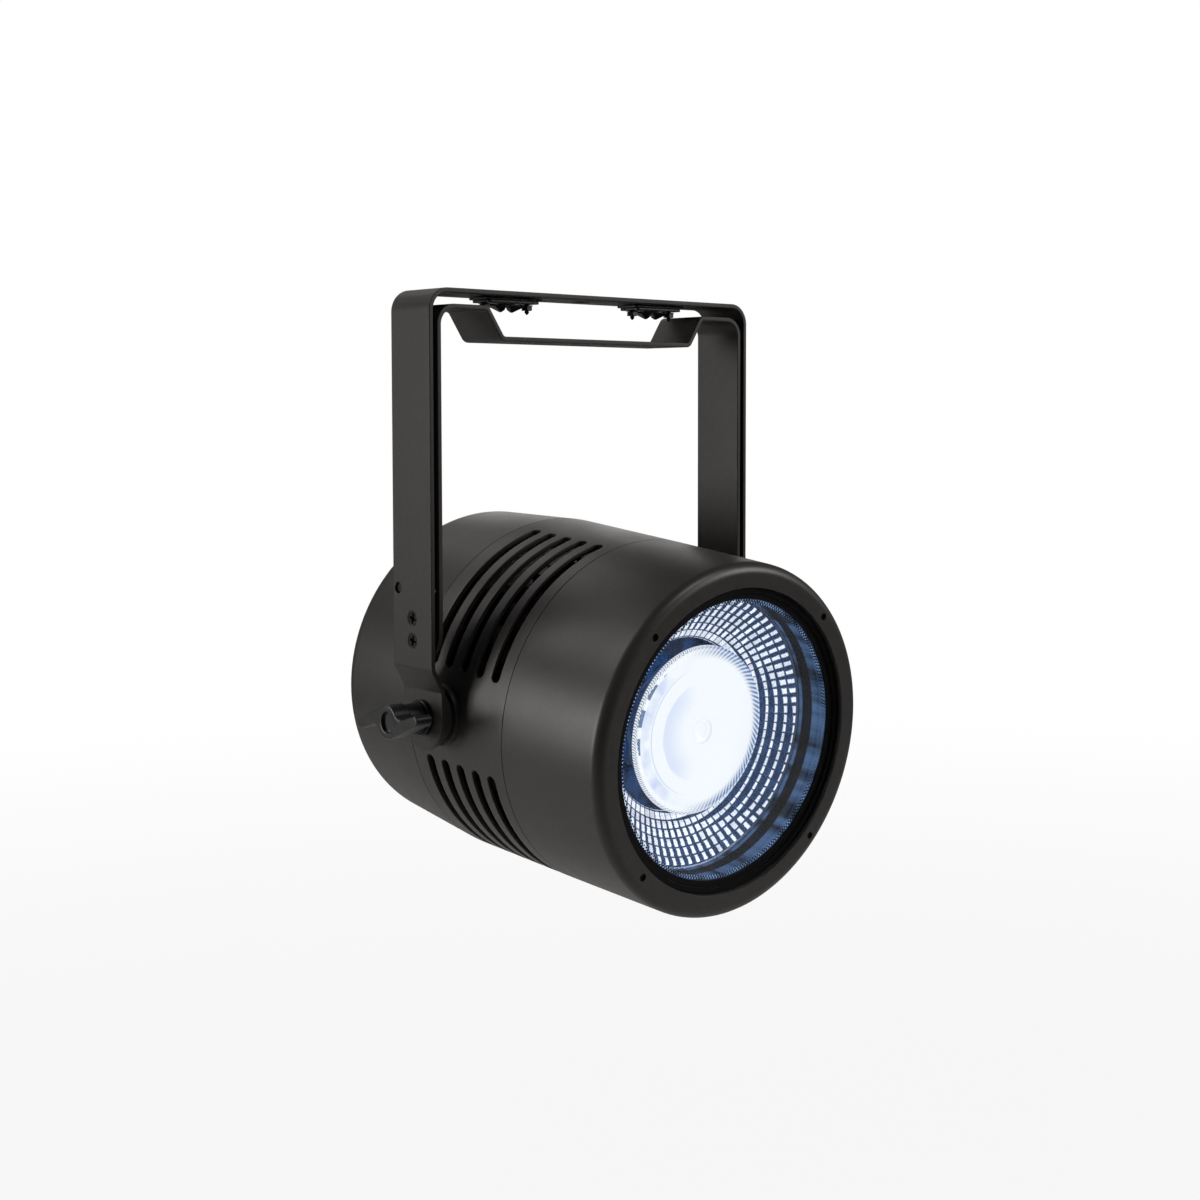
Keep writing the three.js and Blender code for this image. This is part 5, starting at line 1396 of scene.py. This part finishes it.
@dataclass
class Drum:
    """The round housing, made of a front part, a slotted ring and a rear part.

    Attributes:
        shape: Radius of the outside at a few stations, as (station, radius).
        wall: Thickness of the wall.
        ring: Stations of the slotted ring's ends.
        slot_pitch: Distance between two rows of slots.
        slot_middle: Station of the middle row.
        slot_width: Width of a slot.
        slot_from: Angle of a slot's end from the tilt axis, in degrees.
        slot_to: Angle of its other end.
        pad: Radius of the flat round pads on the tilt axis.
        pad_face: Distance of their faces from the middle plane.
        opening: Radius of the front opening.
        screw_circle: Radius on which the four front screws stand.
        segments: Faces around the axis.
        edge: Width of a shell's worn edge.
    """

    shape: list[Point] = field(default_factory=lambda: [(-90.6, 94.8), (-28.2, 98.5), (53, 96.8),
        (122.2, 94.9)])
    wall: float = 2.8
    ring: Point = (-28.05, 52.85)
    slot_pitch: float = 13.5
    slot_middle: float = 13.8
    slot_width: float = 6.8
    slot_from: float = 15.0
    slot_to: float = 75.0
    pad: float = 17.0
    pad_face: float = 99.7
    opening: float = 81.8
    screw_circle: float = 86.8
    segments: int = 144
    edge: float = 0.3

    def radius(self, station: float) -> float:
        """Gives the outside's radius at a station."""
        for (a, ra), (b, rb) in zip(self.shape, self.shape[1:]):
            if station <= b or (b, rb) == self.shape[-1]:
                return ra + (rb - ra) * (station - a) / (b - a)
        return self.shape[-1][1]

    def lip(self, start: float, way: int) -> Loop:
        """Gives the worn edge of a shell that runs this way from its start."""
        r, worn = self.radius, self.edge * way
        return [
            (r(start) - self.wall, start), (r(start) - self.edge, start),
            (r(start) - self.edge * 0.3, start + worn * 0.3),
            (r(start + worn), start + worn)]

    def build(self, bench: Bench) -> None:
        """Builds and dresses the three parts."""
        self.front(bench)
        self.slotted_ring(bench)
        self.rear(bench)

    def front(self, bench: Bench) -> None:
        """Builds the front part with its rounded nose and the holes of the front screws."""
        low, nose = 53.15, 122.2
        r, t = self.radius, self.wall
        profile = self.lip(low, 1) + [(r(s), s) for s in (70, 88, 106)]
        profile += arc(r(nose) - 6, nose, 6, 0, 90, 10)
        profile += [(self.opening + 0.3, 128.2), (self.opening + 0.08, 128.1), (self.opening, 127.85),
            (self.opening, 125.4)]
        profile += [(89.0, 125.4), (91.2, 124.4), (r(nose) - t, nose - 1)]
        housing = bench.raw("front_shell", lathe(profile, self.segments))
        drill = bench.raw("drill", plate(circle(2.0, steps=24), [(0, 130.0), (0, 120.0)]))
        ring = ring_kit()
        ring.grow(drill, Finishes.housing, Count=4, Radius=self.screw_circle, Start=math.pi / 4)
        cutter = housing.modifiers.new("holes", "BOOLEAN")
        cutter.operation, cutter.solver, cutter.object = "DIFFERENCE", "EXACT", drill
        plain(housing)
        bpy.data.objects.remove(drill)
        housing.data.transform(HEAD)
        housing.data.materials.clear()
        bench.fit(bench.shade(housing), Finishes.housing, Body.HEAD, ["front_housing"])
        screw = cross_screw(head=1.7, shank=1.0, length=9.0, cross=(0.5, 2.2), deep=0.7)
        sunk = HEAD @ Matrix.Translation((0, 0, 127.0))
        nodes = [f"front_screw_{i}" for i in (1, 2, 3, 4)]
        bench.repeat("front_screws", screw, ring, sunk, Finishes.dark, Body.HEAD, nodes, Count=4,
            Radius=self.screw_circle, Start=math.pi / 4)

    def slotted_ring(self, bench: Bench) -> None:
        """Builds the slotted ring: a flat sheet with its slots, wrapped round, and two pads."""
        low, high = self.ring
        girth = self.radius(low)
        degree = math.pi * girth / 180
        half, bar = self.slot_width / 2, (self.slot_to - self.slot_from) / 2 * degree
        loop = arc(bar - half, 0, half, -90, 90, 10) + arc(half - bar, 0, half, 90, 270, 10)
        slots = []
        for quarter in range(4):
            for row in (-2, -1, 0, 1, 2):
                across, up = (45 + 90 * quarter - 180) * degree, self.slot_middle + row * self.slot_pitch
                slots.append(Cut([(x + across, y + up) for x, y in loop], edge_rings(-self.wall, 0, 0.35)))
        slots += [Cut(circle(4.3, s * 90 * degree - 90 * degree, 0), edge_rings(-self.wall, 0, 0.3))
            for s in (0, 2)]
        end = math.pi * girth
        outline = [(-end, low), (end, low), (end, high), (-end, high)]
        sheet = plate(outline, edge_rings(-self.wall, 0, 0.25), slots)
        for vert in sheet.verts:
            if abs(vert.co.x) > end - 1:
                vert.co.x = math.copysign(end, vert.co.x)
        ends = [f for f in sheet.faces if abs(sum(v.co.x for v in f.verts)) / len(f.verts) > end - 1e-4]
        bmesh.ops.delete(sheet, geom=ends, context="FACES")
        for k in range(1, self.segments):
            sliced(sheet, -end + 2 * end * k / self.segments)
        ring = bench.raw("vent_sleeve", sheet)
        slope = (self.radius(high) - self.radius(low)) / (high - low)
        wrap_kit().grow(ring, Finishes.housing, Radius=self.radius(low), Station=low, Slope=slope,
            Girth=girth, Turn=math.pi / 2)
        seam = bmesh.new()
        seam.from_mesh(ring.data)
        bmesh.ops.remove_doubles(seam, verts=seam.verts, dist=0.002)
        bmesh.ops.recalc_face_normals(seam, faces=seam.faces)
        seam.transform(HEAD)
        seam.to_mesh(ring.data)
        seam.free()
        bench.fit(bench.shade(ring, 30), Finishes.housing, Body.HEAD, ["vent_ring"])
        for side in Side:
            face = self.pad_face
            profile = [(4.3, face - 6), (self.pad, face - 8), (self.pad, face - 0.5),
                (self.pad - 0.15, face - 0.15), (self.pad - 0.5, face), (4.6, face), (4.3, face - 0.3)]
            bench.make(f"pivot_pad_{side.value}", lathe(profile, 72), side.turn(PIVOT), Finishes.housing,
                Body.HEAD)

    def rear(self, bench: Bench) -> None:
        """Builds the rear part, a cup with a rounded back edge and the panel's seat."""
        top, bend, round_back = -28.35, -90.6, 14.2
        r, t = self.radius, self.wall
        profile = self.lip(top, -1) + [(r(s), s) for s in (-44, -60, -76)]
        profile += arc(r(bend) - round_back, bend, round_back, 0, -90, 14)
        profile += [(76.6, -104.8), (76.3, -104.5), (76.3, -102.5), (70, -102.5), (70, -99.7), (80.6, -99.7)]
        profile += [(88.6, -98.0), (91.4, -93.5), (r(bend) - t, bend)]
        bench.make("rear_shell", lathe(profile, self.segments), HEAD, Finishes.housing, Body.HEAD,
            ["rear_housing"])


@dataclass
class Optics:
    """Everything seen through the window: its ring, glass, tube, faceted bowl and lens.

    Attributes:
        window: Radius of the ring's clear opening.
        dots: Number of dots in each row printed round the glass.
        printed: Station of those dots.
        lens: Radius of the lens.
        teeth: Number of moulded teeth round its rim.
        crown: Height of its domed front.
        dimple: Radius of the dimple at its middle.
    """

    window: float = 75.1
    dots: int = 236
    printed: float = 121.62
    lens: float = 46.0
    teeth: int = 96
    crown: float = 3.2
    dimple: float = 6.5

    def build(self, bench: Bench) -> None:
        """Builds and dresses the optics."""
        w = self.window
        rim = [(w, 121.9), (91.8, 121.9), (91.8, 125.1), (79.1, 125.1), (78.75, 125.0), (78.6, 124.7),
            (78.6, 123.55), (78.45, 123.4), (w + 0.3, 123.4), (w + 0.08, 123.3), (w, 123.1)]
        pane = [(0, 118.6), (83.3, 118.6), (83.6, 118.9), (83.6, 121.3), (83.3, 121.6), (0, 121.6)]
        tube = [(74.9, 101.2), (77.1, 101.2), (77.1, 113.6), (91.7, 113.6), (91.7, 116.6), (75.2, 116.6),
            (74.9, 116.3)]
        turned_pieces = (
            ("window_ring", rim, Finishes.plastic, "glass_retainer"),
            ("window_pane", pane, Finishes.glass, "front_glass"),
            ("shade_tube", tube, Finishes.tube, "optic_tube"))
        for name, profile, finish, node in turned_pieces:
            bench.make(name, lathe(profile), HEAD, finish, Body.HEAD, [node])
        ring = ring_kit()
        half = math.pi / self.dots
        # The glint rows are painted light, small glowing dots between the printed dots.
        rows = {
            "edge_dots": (Finishes.plastic, 0.6, w - 0.72, 0.0),
            "inner_dots": (Finishes.plastic, 0.52, w - 1.95, half),
            "edge_glints": (Finishes.glint, 0.36, w - 0.75, half),
            "inner_glints": (Finishes.glint, 0.34, w - 1.9, 0.0)}
        for name, (finish, size, radius, start) in rows.items():
            dot = plate(circle(size, steps=8), [(size * 0.2, 0.1), (0, 0.05), (0, 0)])
            place = HEAD @ Matrix.Translation((0, 0, self.printed))
            bench.repeat(name, dot, ring, place, finish, Body.HEAD, shaded=False, Count=self.dots,
                Radius=radius, Start=start)
        self.bowl(bench)
        self.beam(bench, ring)

    def bowl(self, bench: Bench) -> None:
        """Builds the faceted bowl and the shell behind it."""
        seed = bench.raw("bowl_facets", bmesh.new())
        facet_kit().grow(seed, Finishes.mirror, Detail=3)
        thick = seed.modifiers.new("thick", "SOLIDIFY")
        thick.thickness, thick.offset = 1.0, -1.0
        plain(seed)
        seed.data.transform(HEAD)
        seed.data.shade_flat()
        bench.fit(seed, Finishes.mirror, Body.HEAD)
        lip = [(48.3, 65.9), (49.6, 65.9), (49.6, 79.5), (76.0, 99.3), (77.1, 99.6), (77.1, 100.8),
            (76.9, 100.9), (74.9, 100.9), (73.3, 99.9), (72.0, 96.5), (48.6, 79.9), (48.3, 79.6)]
        bench.make("bowl_shell", lathe(lip), HEAD, Finishes.silver, Body.HEAD, ["reflector"])

    def beam(self, bench: Bench, ring: Kit) -> None:
        """Builds the lens with its dome, dimple and toothed rim."""
        edge, face, steps = 96.6, 98.2, 14
        foot, low = 17, 69.6
        shares = [k / steps for k in range(steps + 1)]
        flank = [(foot + (self.lens - foot) * math.sqrt(s), low + (edge - low) * s) for s in shares]

        def dome(radius: float) -> Point:
            """Gives the dome's point at a radius."""
            return radius, face + self.crown * (1 - (radius / self.lens) ** 2)

        crown = [dome(self.lens - (self.lens - self.dimple) * k / 16) for k in range(17)]
        top = crown[-1][1]
        turns, deep = [math.radians(a) for a in (12, 24, 38, 52, 66, 80)], 3.0
        bowl = [(self.dimple * math.cos(a), top - deep * math.sin(a)) for a in turns]
        profile = [(0, 73.6), (12.5, 73.6), (12.5, 69.6)] + flank + crown + bowl + [(0, top - deep)]
        bench.make("lens_body", lathe(profile, 120), HEAD, Finishes.lens, Body.HEAD, ["beam_lens"], sharp=28)
        tooth = plate([(-1.7, -0.55), (1.5, -0.75), (1.5, 0.75), (-1.7, 0.55)],
            [(0.3, 0.75), (0.1, 0.62), (0, 0.4), (0, 0)])
        rim = HEAD @ Matrix.Translation((0, 0, face))
        bench.repeat("lens_teeth", tooth, ring, rim, Finishes.lens, Body.HEAD, Count=self.teeth,
            Radius=self.lens - 1.9, Start=0.0)


@dataclass
class Pivot:
    """The tilt pivot at one end: rubber disc, washer and wing knob.

    Attributes:
        side: Which end.
        tip: Place of a wing's tip on the knob, as (along, up).
        tip_round: Radius of that tip.
        hub: Radius of the knob's middle.
        hollow: Radius of the hollow beside the wing's root.
        under: Direction that the hollow flank faces, in degrees.
    """

    side: Side
    tip: Point = (24.6, -5.5)
    tip_round: float = 2.85
    hub: float = 9.1
    hollow: float = 6.0
    under: float = -113.0

    def outline(self) -> Loop:
        """Draws the S-shaped outline of the two wings, each straight on one flank and hollow on the other."""
        tip, way = Vector(self.tip), math.radians(self.under)
        narrowing = math.degrees(math.asin((self.hub - self.tip_round) / tip.length))
        straight = math.degrees(math.atan2(tip.y, tip.x)) + 90 - narrowing
        facing = Vector((math.cos(way), math.sin(way)))
        aside = facing.dot(tip) + self.tip_round + self.hollow
        along = math.sqrt((self.hub + self.hollow) ** 2 - aside * aside)
        centre = Vector((-facing.y, facing.x)) * along + facing * aside
        back = math.degrees(math.atan2(-centre.y, -centre.x))
        half = arc(centre.x, centre.y, self.hollow, back, 180 + self.under, 14)
        half += arc(*self.tip, self.tip_round, self.under, straight, 24)
        half += arc(0, 0, self.hub, straight, back, 16)[:-1]
        return half + [(-x, -y) for x, y in half]

    def knob(self) -> Mesh:
        """Makes the knob: a neck, two wings with soft edges, and the well over the stud's end."""
        neck = lathe([(0, 112.3), (7.9, 112.3), (8.2, 112.6), (8.2, 123.0), (0, 123.0)], 48)
        high = 131.8
        well = Cut(circle(5.6, steps=40),
            [(0.5, high), (0.15, high - 0.2), (0, high - 0.5), (0, high - 1.9), (-0.3, high - 2.1)],
            pocket=True)
        return joined(neck, plate(self.outline(), edge_rings(121.8, high, 0.9, 4), [well]))

    def build(self, bench: Bench) -> None:
        """Builds and dresses one end's pieces."""
        name, place = self.side.value, self.side.turn(PIVOT)
        disc = [(4.3, 100.0), (14.0, 100.0), (14.2, 100.2), (14.2, 106.3), (14.0, 106.5), (4.3, 106.5)]
        bench.make(f"friction_pad_{name}", lathe(disc, 64), place, Finishes.rubber, Body.HEAD,
            [f"friction_disc_{name}"])
        washer = [(4.3, 109.6), (9.3, 109.6), (9.6, 109.9), (9.6, 111.7), (9.3, 112.0), (4.3, 112.0)]
        bench.make(f"washer_{name}", lathe(washer, 64), place, Finishes.dark, Body.HEAD,
            [f"knob_washer_{name}"])
        body = Body.KNOB_LEFT if self.side is Side.LEFT else Body.KNOB_RIGHT
        bench.make(f"wing_knob_{name}", self.knob(), place, Finishes.satin, body, [f"tilt_knob_{name}"],
            sharp=50)


@dataclass
class RearPanel:
    """The round rear panel with its display, keys, sockets, fuse and safety eye.

    Attributes:
        radius: Radius of the panel.
        outer: Distance of its outer face behind the pivot.
        inner: Distance of its inner face.
        seat: Distance of the face that its fittings stand on.
        display_up: Height of the display's middle.
        keys: Places of the four keys from the middle.
        key_up: Their height.
        fuse: Place of the fuse cap.
        eye_up: Height of the safety eye.
    """

    radius: float = 76.0
    outer: float = 104.8
    inner: float = 102.8
    seat: float = 105.1
    display_up: float = 39.0
    keys: tuple[float, ...] = (-25.5, -8.5, 8.5, 25.5)
    key_up: float = 16.0
    fuse: Point = (-53.0, -13.0)
    eye_up: float = 62.0

    def sockets(self) -> dict[str, Point]:
        """Gives the places of the four sockets, as seen from behind."""
        return {"data_input": (20, -13), "data_output": (-20, -13), "power_inlet": (20, -47),
            "power_outlet": (-20, -47)}

    def build(self, bench: Bench) -> None:
        """Builds and dresses the panel and what it carries."""
        holes = [rectangle(52.6, 20.6, 1.0, 0, self.display_up), circle(6.3, *self.fuse)]
        holes += [circle(4.5, x, self.key_up, 32) for x in self.keys]
        holes += [circle(11.7, *spot) for spot in self.sockets().values()]
        bench.make("rear_plate", slab(circle(self.radius, steps=120), self.inner, self.outer, 0.3, holes),
            REAR, Finishes.housing, Body.HEAD, ["rear_panel"])
        self.screen(bench)
        for i, x in enumerate(self.keys):
            self.key(bench, 4 - i, x)
        for name, spot in self.sockets().items():
            self.socket(bench, name, spot)
        self.fuse_cap(bench)
        self.eye(bench)

    def screen(self, bench: Bench) -> None:
        """Builds the display: a bezel round a dark window."""
        up = self.display_up
        bezel = slab(rectangle(56, 24, 2, 0, up), self.seat, 105.9, 0.25, [rectangle(50, 18, 1.0, 0, up)])
        bench.make("display_bezel", bezel, REAR, Finishes.satin, Body.HEAD)
        pane = slab(rectangle(52, 20, 1.5, 0, up), 98.5, 105.5, 0.2)
        bench.make("display_pane", pane, REAR, Finishes.screen, Body.HEAD, ["display"])

    def key(self, bench: Bench, number: int, x: float) -> None:
        """Builds one key with a moulded arrow in its domed cap."""
        way = (90, -90, 0, 180)[number - 1]
        loop = turned([(1.9, 0.0), (-1.1, 1.7), (-1.1, -1.7)], way, x, self.key_up)
        pocket = Cut(loop, [(0.1, 107.0), (0, 106.9), (-0.1, 106.6)], pocket=True)
        rings = [(0.8, 107.0), (0.35, 106.9), (0.08, 106.6), (0, 106.2), (0, 102.5)]
        cap = plate(circle(4.2, x, self.key_up, 40), rings, [pocket])
        collar = plate(circle(5.4, x, self.key_up, 32), [(0, 102.5), (0, 101.3)])
        stem = plate(circle(2.1, x, self.key_up, 20), [(0, 101.3), (0, 99.2)])
        bench.make(f"key_{number}", joined(cap, collar, stem), REAR, Finishes.satin,
            f"menu_button_{number}", [f"menu_button_{number}"])

    def socket(self, bench: Bench, name: str, spot: Point) -> None:
        """Builds one socket: flange, body and well with what the plug meets."""
        x, y = spot
        data = name.startswith("data")
        well = 8.2 if data else 9.6
        face, floor = 106.9, 92.9
        wall = [(0.5, face), (0.1, face - 0.15), (0, face - 0.5)]
        bore = circle(well, x, y)
        lip = edge_rings(self.seat, face, 0.4, 3)
        flange = plate(rectangle(26, 31, 2.5, x, y), lip, [Cut(bore, wall + [(0, self.seat)])])
        hollow = Cut(bore, [(0, 105.2), (0, floor)], pocket=True)
        body = plate(circle(11.4, x, y), [(0, 105.2), (0, 82.9)], [hollow])
        ring = [(0.1, -0.1), (0.1, 0.0), (1.0, 0.0), (1.3, -0.3), (1.3, -0.5)]
        ring = [(well + out, face + up) for out, up in ring]
        parts = [flange, body, moved(lathe(ring, 48), x, y)]
        pins = [(x + px, y + py) for px, py in arc(0, 0, 4, 30, 270, 2)]
        if name == "data_input":
            tip = [(0.4, 103.5), (0, 103.0), (0, floor)]
            parts += [plate(circle(1.2, *pin, 16), tip) for pin in pins]
        elif name == "data_output":
            deep = [(0.2, 106.2), (0, 106.0), (0, 95.0)]
            holes = [Cut(circle(1.45, *pin, 16), deep, pocket=True) for pin in pins]
            parts.append(plate(circle(well + 0.05, x, y), [(0.3, 106.2), (0, 105.9), (0, floor)], holes))
        else:
            core = 6.2
            spots = [(x + s * core * 0.55, y) for s in (1, -1)]
            slits = [Cut(rectangle(0.8, 4.2, 0.3, *spot), [(0, 105.0), (0, 98.0)], pocket=True)
                for spot in spots]
            parts.append(plate(circle(core, x, y, 36), [(0.4, 105.0), (0, 104.6), (0, floor)], slits))
            parts.append(plate(rectangle(2.0, 3.6, 0.3, x, y + well - 1.5),
                [(0.2, 105.0), (0, 104.8), (0, floor)]))
        bench.make(f"socket_{name}", joined(*parts), REAR, Finishes.satin, Body.HEAD, [name])

    def fuse_cap(self, bench: Bench) -> None:
        """Builds the fuse holder: a ribbed cap with a slot, and its body."""
        x, y = self.fuse
        slot = Cut(rectangle(7.6, 1.4, 0.2, x, y), [(0.1, 111.1), (0, 111.0), (0, 109.7)], pocket=True)
        cap = plate(circle(7.3, x, y, 48), [(0.6, 111.1), (0.2, 110.9), (0, 110.5), (0, self.seat)], [slot])
        body = plate(circle(6.0, x, y, 36), [(0, self.seat), (0, self.seat - 20)])
        bench.make("fuse_cap", joined(cap, body), REAR, Finishes.satin, Body.HEAD, ["fuse_holder"])
        rib = plate(rectangle(0.7, 0.8, 0.15), [(0.1, 110.2), (0, 110.0), (0, 105.6)])
        around = REAR @ Matrix.Translation((x, y, 0))
        bench.repeat("fuse_ribs", rib, ring_kit(), around, Finishes.satin, Body.HEAD, Count=32, Radius=7.25,
            Start=0.0)

    def eye(self, bench: Bench) -> None:
        """Builds the safety eye: a foot plate and a bent rod."""
        up, foot, rod, bow = self.eye_up, 107.1, 2.25, 8.0
        line = [(-bow, foot - 0.9), (-bow, foot + 0.5), (-bow, 113.1)] + arc(0, 113.1, bow, 180, 0, 24)[1:]
        line += [(bow, foot + 0.5), (bow, foot - 0.9)]
        base = slab(rectangle(28, 10, 2, 0, up), self.seat, foot, 0.4)
        bm, rings, around = bmesh.new(), [], 20
        for i, (x, w) in enumerate(line):
            a, b = Vector(line[max(i - 1, 0)]), Vector(line[min(i + 1, len(line) - 1)])
            side = Vector((-(b - a).normalized().y, (b - a).normalized().x))
            turn = circle(rod, steps=around)
            rings.append([bm.verts.new((x + side.x * c, up + s, w + side.y * c)) for c, s in turn])
        for low, high in zip(rings, rings[1:]):
            for i in range(around):
                bm.faces.new((low[i - 1], low[i], high[i], high[i - 1]))
        bm.faces.new(rings[0])
        bm.faces.new(rings[-1][::-1])
        bench.make("safety_loop", joined(base, bm), REAR, Finishes.zinc, Body.HEAD, ["safety_eye"])


@dataclass
class Inside:
    """The pieces behind the bowl and round the hinges, whose solids stay and only get their finishes."""

    def dress(self) -> None:
        """Gives each solid that stays its finish."""
        finishes = {
            # The gasket, the heat sink and the bulkhead carry painted lamp light; the emitter glows as the
            # lamp itself.
            Finishes.seal: ["glass_gasket"],
            Finishes.plastic: ["lens_holder", "fan_frame", "fan_rotor"],
            Finishes.lamp: ["led_emitter"],
            Finishes.aluminium: ["led_board", "power_supply"],
            Finishes.black_sink: ["heat_sink"],
            Finishes.throat: ["bulkhead"],
            Finishes.board: ["control_board"],
            Finishes.dark: ["stand_detent_left", "stand_detent_right"],
            Finishes.zinc: ["tilt_stud_left", "tilt_stud_right"],
        }
        for finish, nodes in finishes.items():
            for node in nodes:
                obj = bpy.data.objects[node]
                obj.data.materials.clear()
                obj.data.materials.append(finish.material())
                LOG.info("%s: solid with %s", node, finish.name)


@dataclass
class Studio:
    """The camera, the lamps, the floor and the backdrop.

    Attributes:
        camera_at: The camera's place in metres.
        azimuth: Its turn about the vertical, in degrees.
        elevation: Its tilt downwards.
        roll: Its roll.
        lens: Focal length in millimetres.
        shift: Shift of the frame.
        floor: Height of the floor in metres.
        aim: Place that the lamps face.
        tint: Colour of the lamps.
    """

    camera_at: tuple[float, float, float] = (-0.6205, -0.7591, -0.0611)
    azimuth: float = -43.914
    elevation: float = 3.155
    roll: float = 0.112
    lens: float = 51.14
    shift: Point = (-0.0999, -0.084)
    floor: float = -0.9
    aim: tuple[float, float, float] = (0, 0, -0.2)
    tint: Colour = (1, 0.972, 0.95)

    def build(self) -> None:
        """Sets the stage up."""
        self.camera()
        self.lamps()
        self.backdrop()

    def camera(self) -> None:
        """Places the camera."""
        a, e, r = (math.radians(v) for v in (self.azimuth, self.elevation, self.roll))
        back = Vector((math.sin(a) * math.cos(e), -math.cos(a) * math.cos(e), math.sin(e)))
        right = Vector((math.cos(a), math.sin(a), 0))
        up = back.cross(right)
        right, up = right * math.cos(r) + up * math.sin(r), up * math.cos(r) - right * math.sin(r)
        data = bpy.data.cameras.new("camera")
        data.lens, data.sensor_width, data.sensor_fit = self.lens, 36, "HORIZONTAL"
        data.shift_x, data.shift_y = self.shift
        data.clip_start, data.clip_end = 0.05, 60
        turn = Matrix((right, up, back)).transposed().to_4x4()
        bpy.context.scene.camera = added("camera", data, Matrix.Translation(self.camera_at) @ turn)

    def lamp(self, name: str, place: tuple[float, float, float], size: float, power: float) -> None:
        """Adds one soft lamp that faces the light and isn't seen itself."""
        data = bpy.data.lights.new(name, "AREA")
        data.shape, data.size, data.energy = "DISK", size, power
        data.color = self.tint
        way = Vector(self.aim) - Vector(place)
        turn = way.to_track_quat("-Z", "Y").to_matrix().to_4x4()
        added(name, data, Matrix.Translation(place) @ turn).visible_camera = False

    def lamps(self) -> None:
        """Adds the lamps: two at the back left for the drum's sheen, soft fills in front and two rims."""
        self.lamp("key", (-1.75, 1.0, -0.05), 0.9, 17.5)
        self.lamp("key_high", (-1.2, 1.1, 1.3), 1.0, 7.7)
        self.lamp("fill", (1.45, -1.45, 0.62), 1.1, 19)
        self.lamp("fill_high", (0.5, -1.2, 1.4), 0.6, 7)
        self.lamp("rim", (1.2, 1.6, 0.3), 1.0, 3)
        self.lamp("rim_high", (0.2, 1.5, 1.4), 1.0, 3)

    def seen(self, tree: Tree, rays: NodeOutputs) -> Number:
        """Gives 1 for what the camera sees, through glass too."""
        return tree.number(rays["Is Camera Ray"]).most(tree.number(rays["Is Transmission Ray"]))

    def backdrop(self) -> None:
        """Adds the pale floor and the white surround."""
        bm = bmesh.new()
        bmesh.ops.create_grid(bm, x_segments=8, y_segments=8, size=9)
        bm.transform(Matrix.Translation((0, 0, self.floor)))
        obj = meshed("floor", bm)
        material = bpy.data.materials.new("pale_floor")
        tree = blank(material)
        coordinates = tree.node("ShaderNodeTexCoord").outputs["Object"]
        tone = tree.blend(tree.noise(coordinates, 3.0), (0.84, 0.84, 0.84, 1), (0.88, 0.88, 0.88, 1))
        matt = tree.node("ShaderNodeBsdfDiffuse", {"Color": tone})
        white = tree.node("ShaderNodeEmission", {0: (1, 1, 1, 1), 1: 1.0})
        seen = self.seen(tree, tree.node("ShaderNodeLightPath").outputs)
        far = tree.node("ShaderNodeVectorMath", {0: coordinates}, operation="LENGTH").outputs["Value"]
        share = seen * (tree.number(far).step(1.0, 4.0) * 0.12 + 0.88)
        mixed = tree.node("ShaderNodeMixShader", {0: share, 1: matt.outputs[0], 2: white.outputs[0]})
        tree.node("ShaderNodeOutputMaterial", {0: mixed.outputs[0]})
        obj.data.materials.append(material)
        world = bpy.data.worlds.new("surround")
        tree = blank(world)
        rays = tree.node("ShaderNodeLightPath").outputs
        level = self.seen(tree, rays).most(tree.number(rays["Is Glossy Ray"]) * 0.13).most(0.01)
        surround = tree.node("ShaderNodeBackground", {0: (1, 1, 1, 1), 1: level})
        tree.node("ShaderNodeOutputWorld", {0: surround.outputs[0]})
        bpy.context.scene.world = world


def main() -> None:
    """Builds the light and the studio."""
    logging.basicConfig(level=logging.INFO, format="%(message)s")
    bpy.context.scene.view_settings.view_transform = "Standard"
    bench = Bench()
    Yokes().build(bench)
    YokeHardware().build(bench)
    Drum().build(bench)
    Optics().build(bench)
    for side in Side:
        Pivot(side).build(bench)
    RearPanel().build(bench)
    Inside().dress()
    Studio().build()
    LOG.info("%d pieces", len(bench.made))


if __name__ == "__main__":
    main()
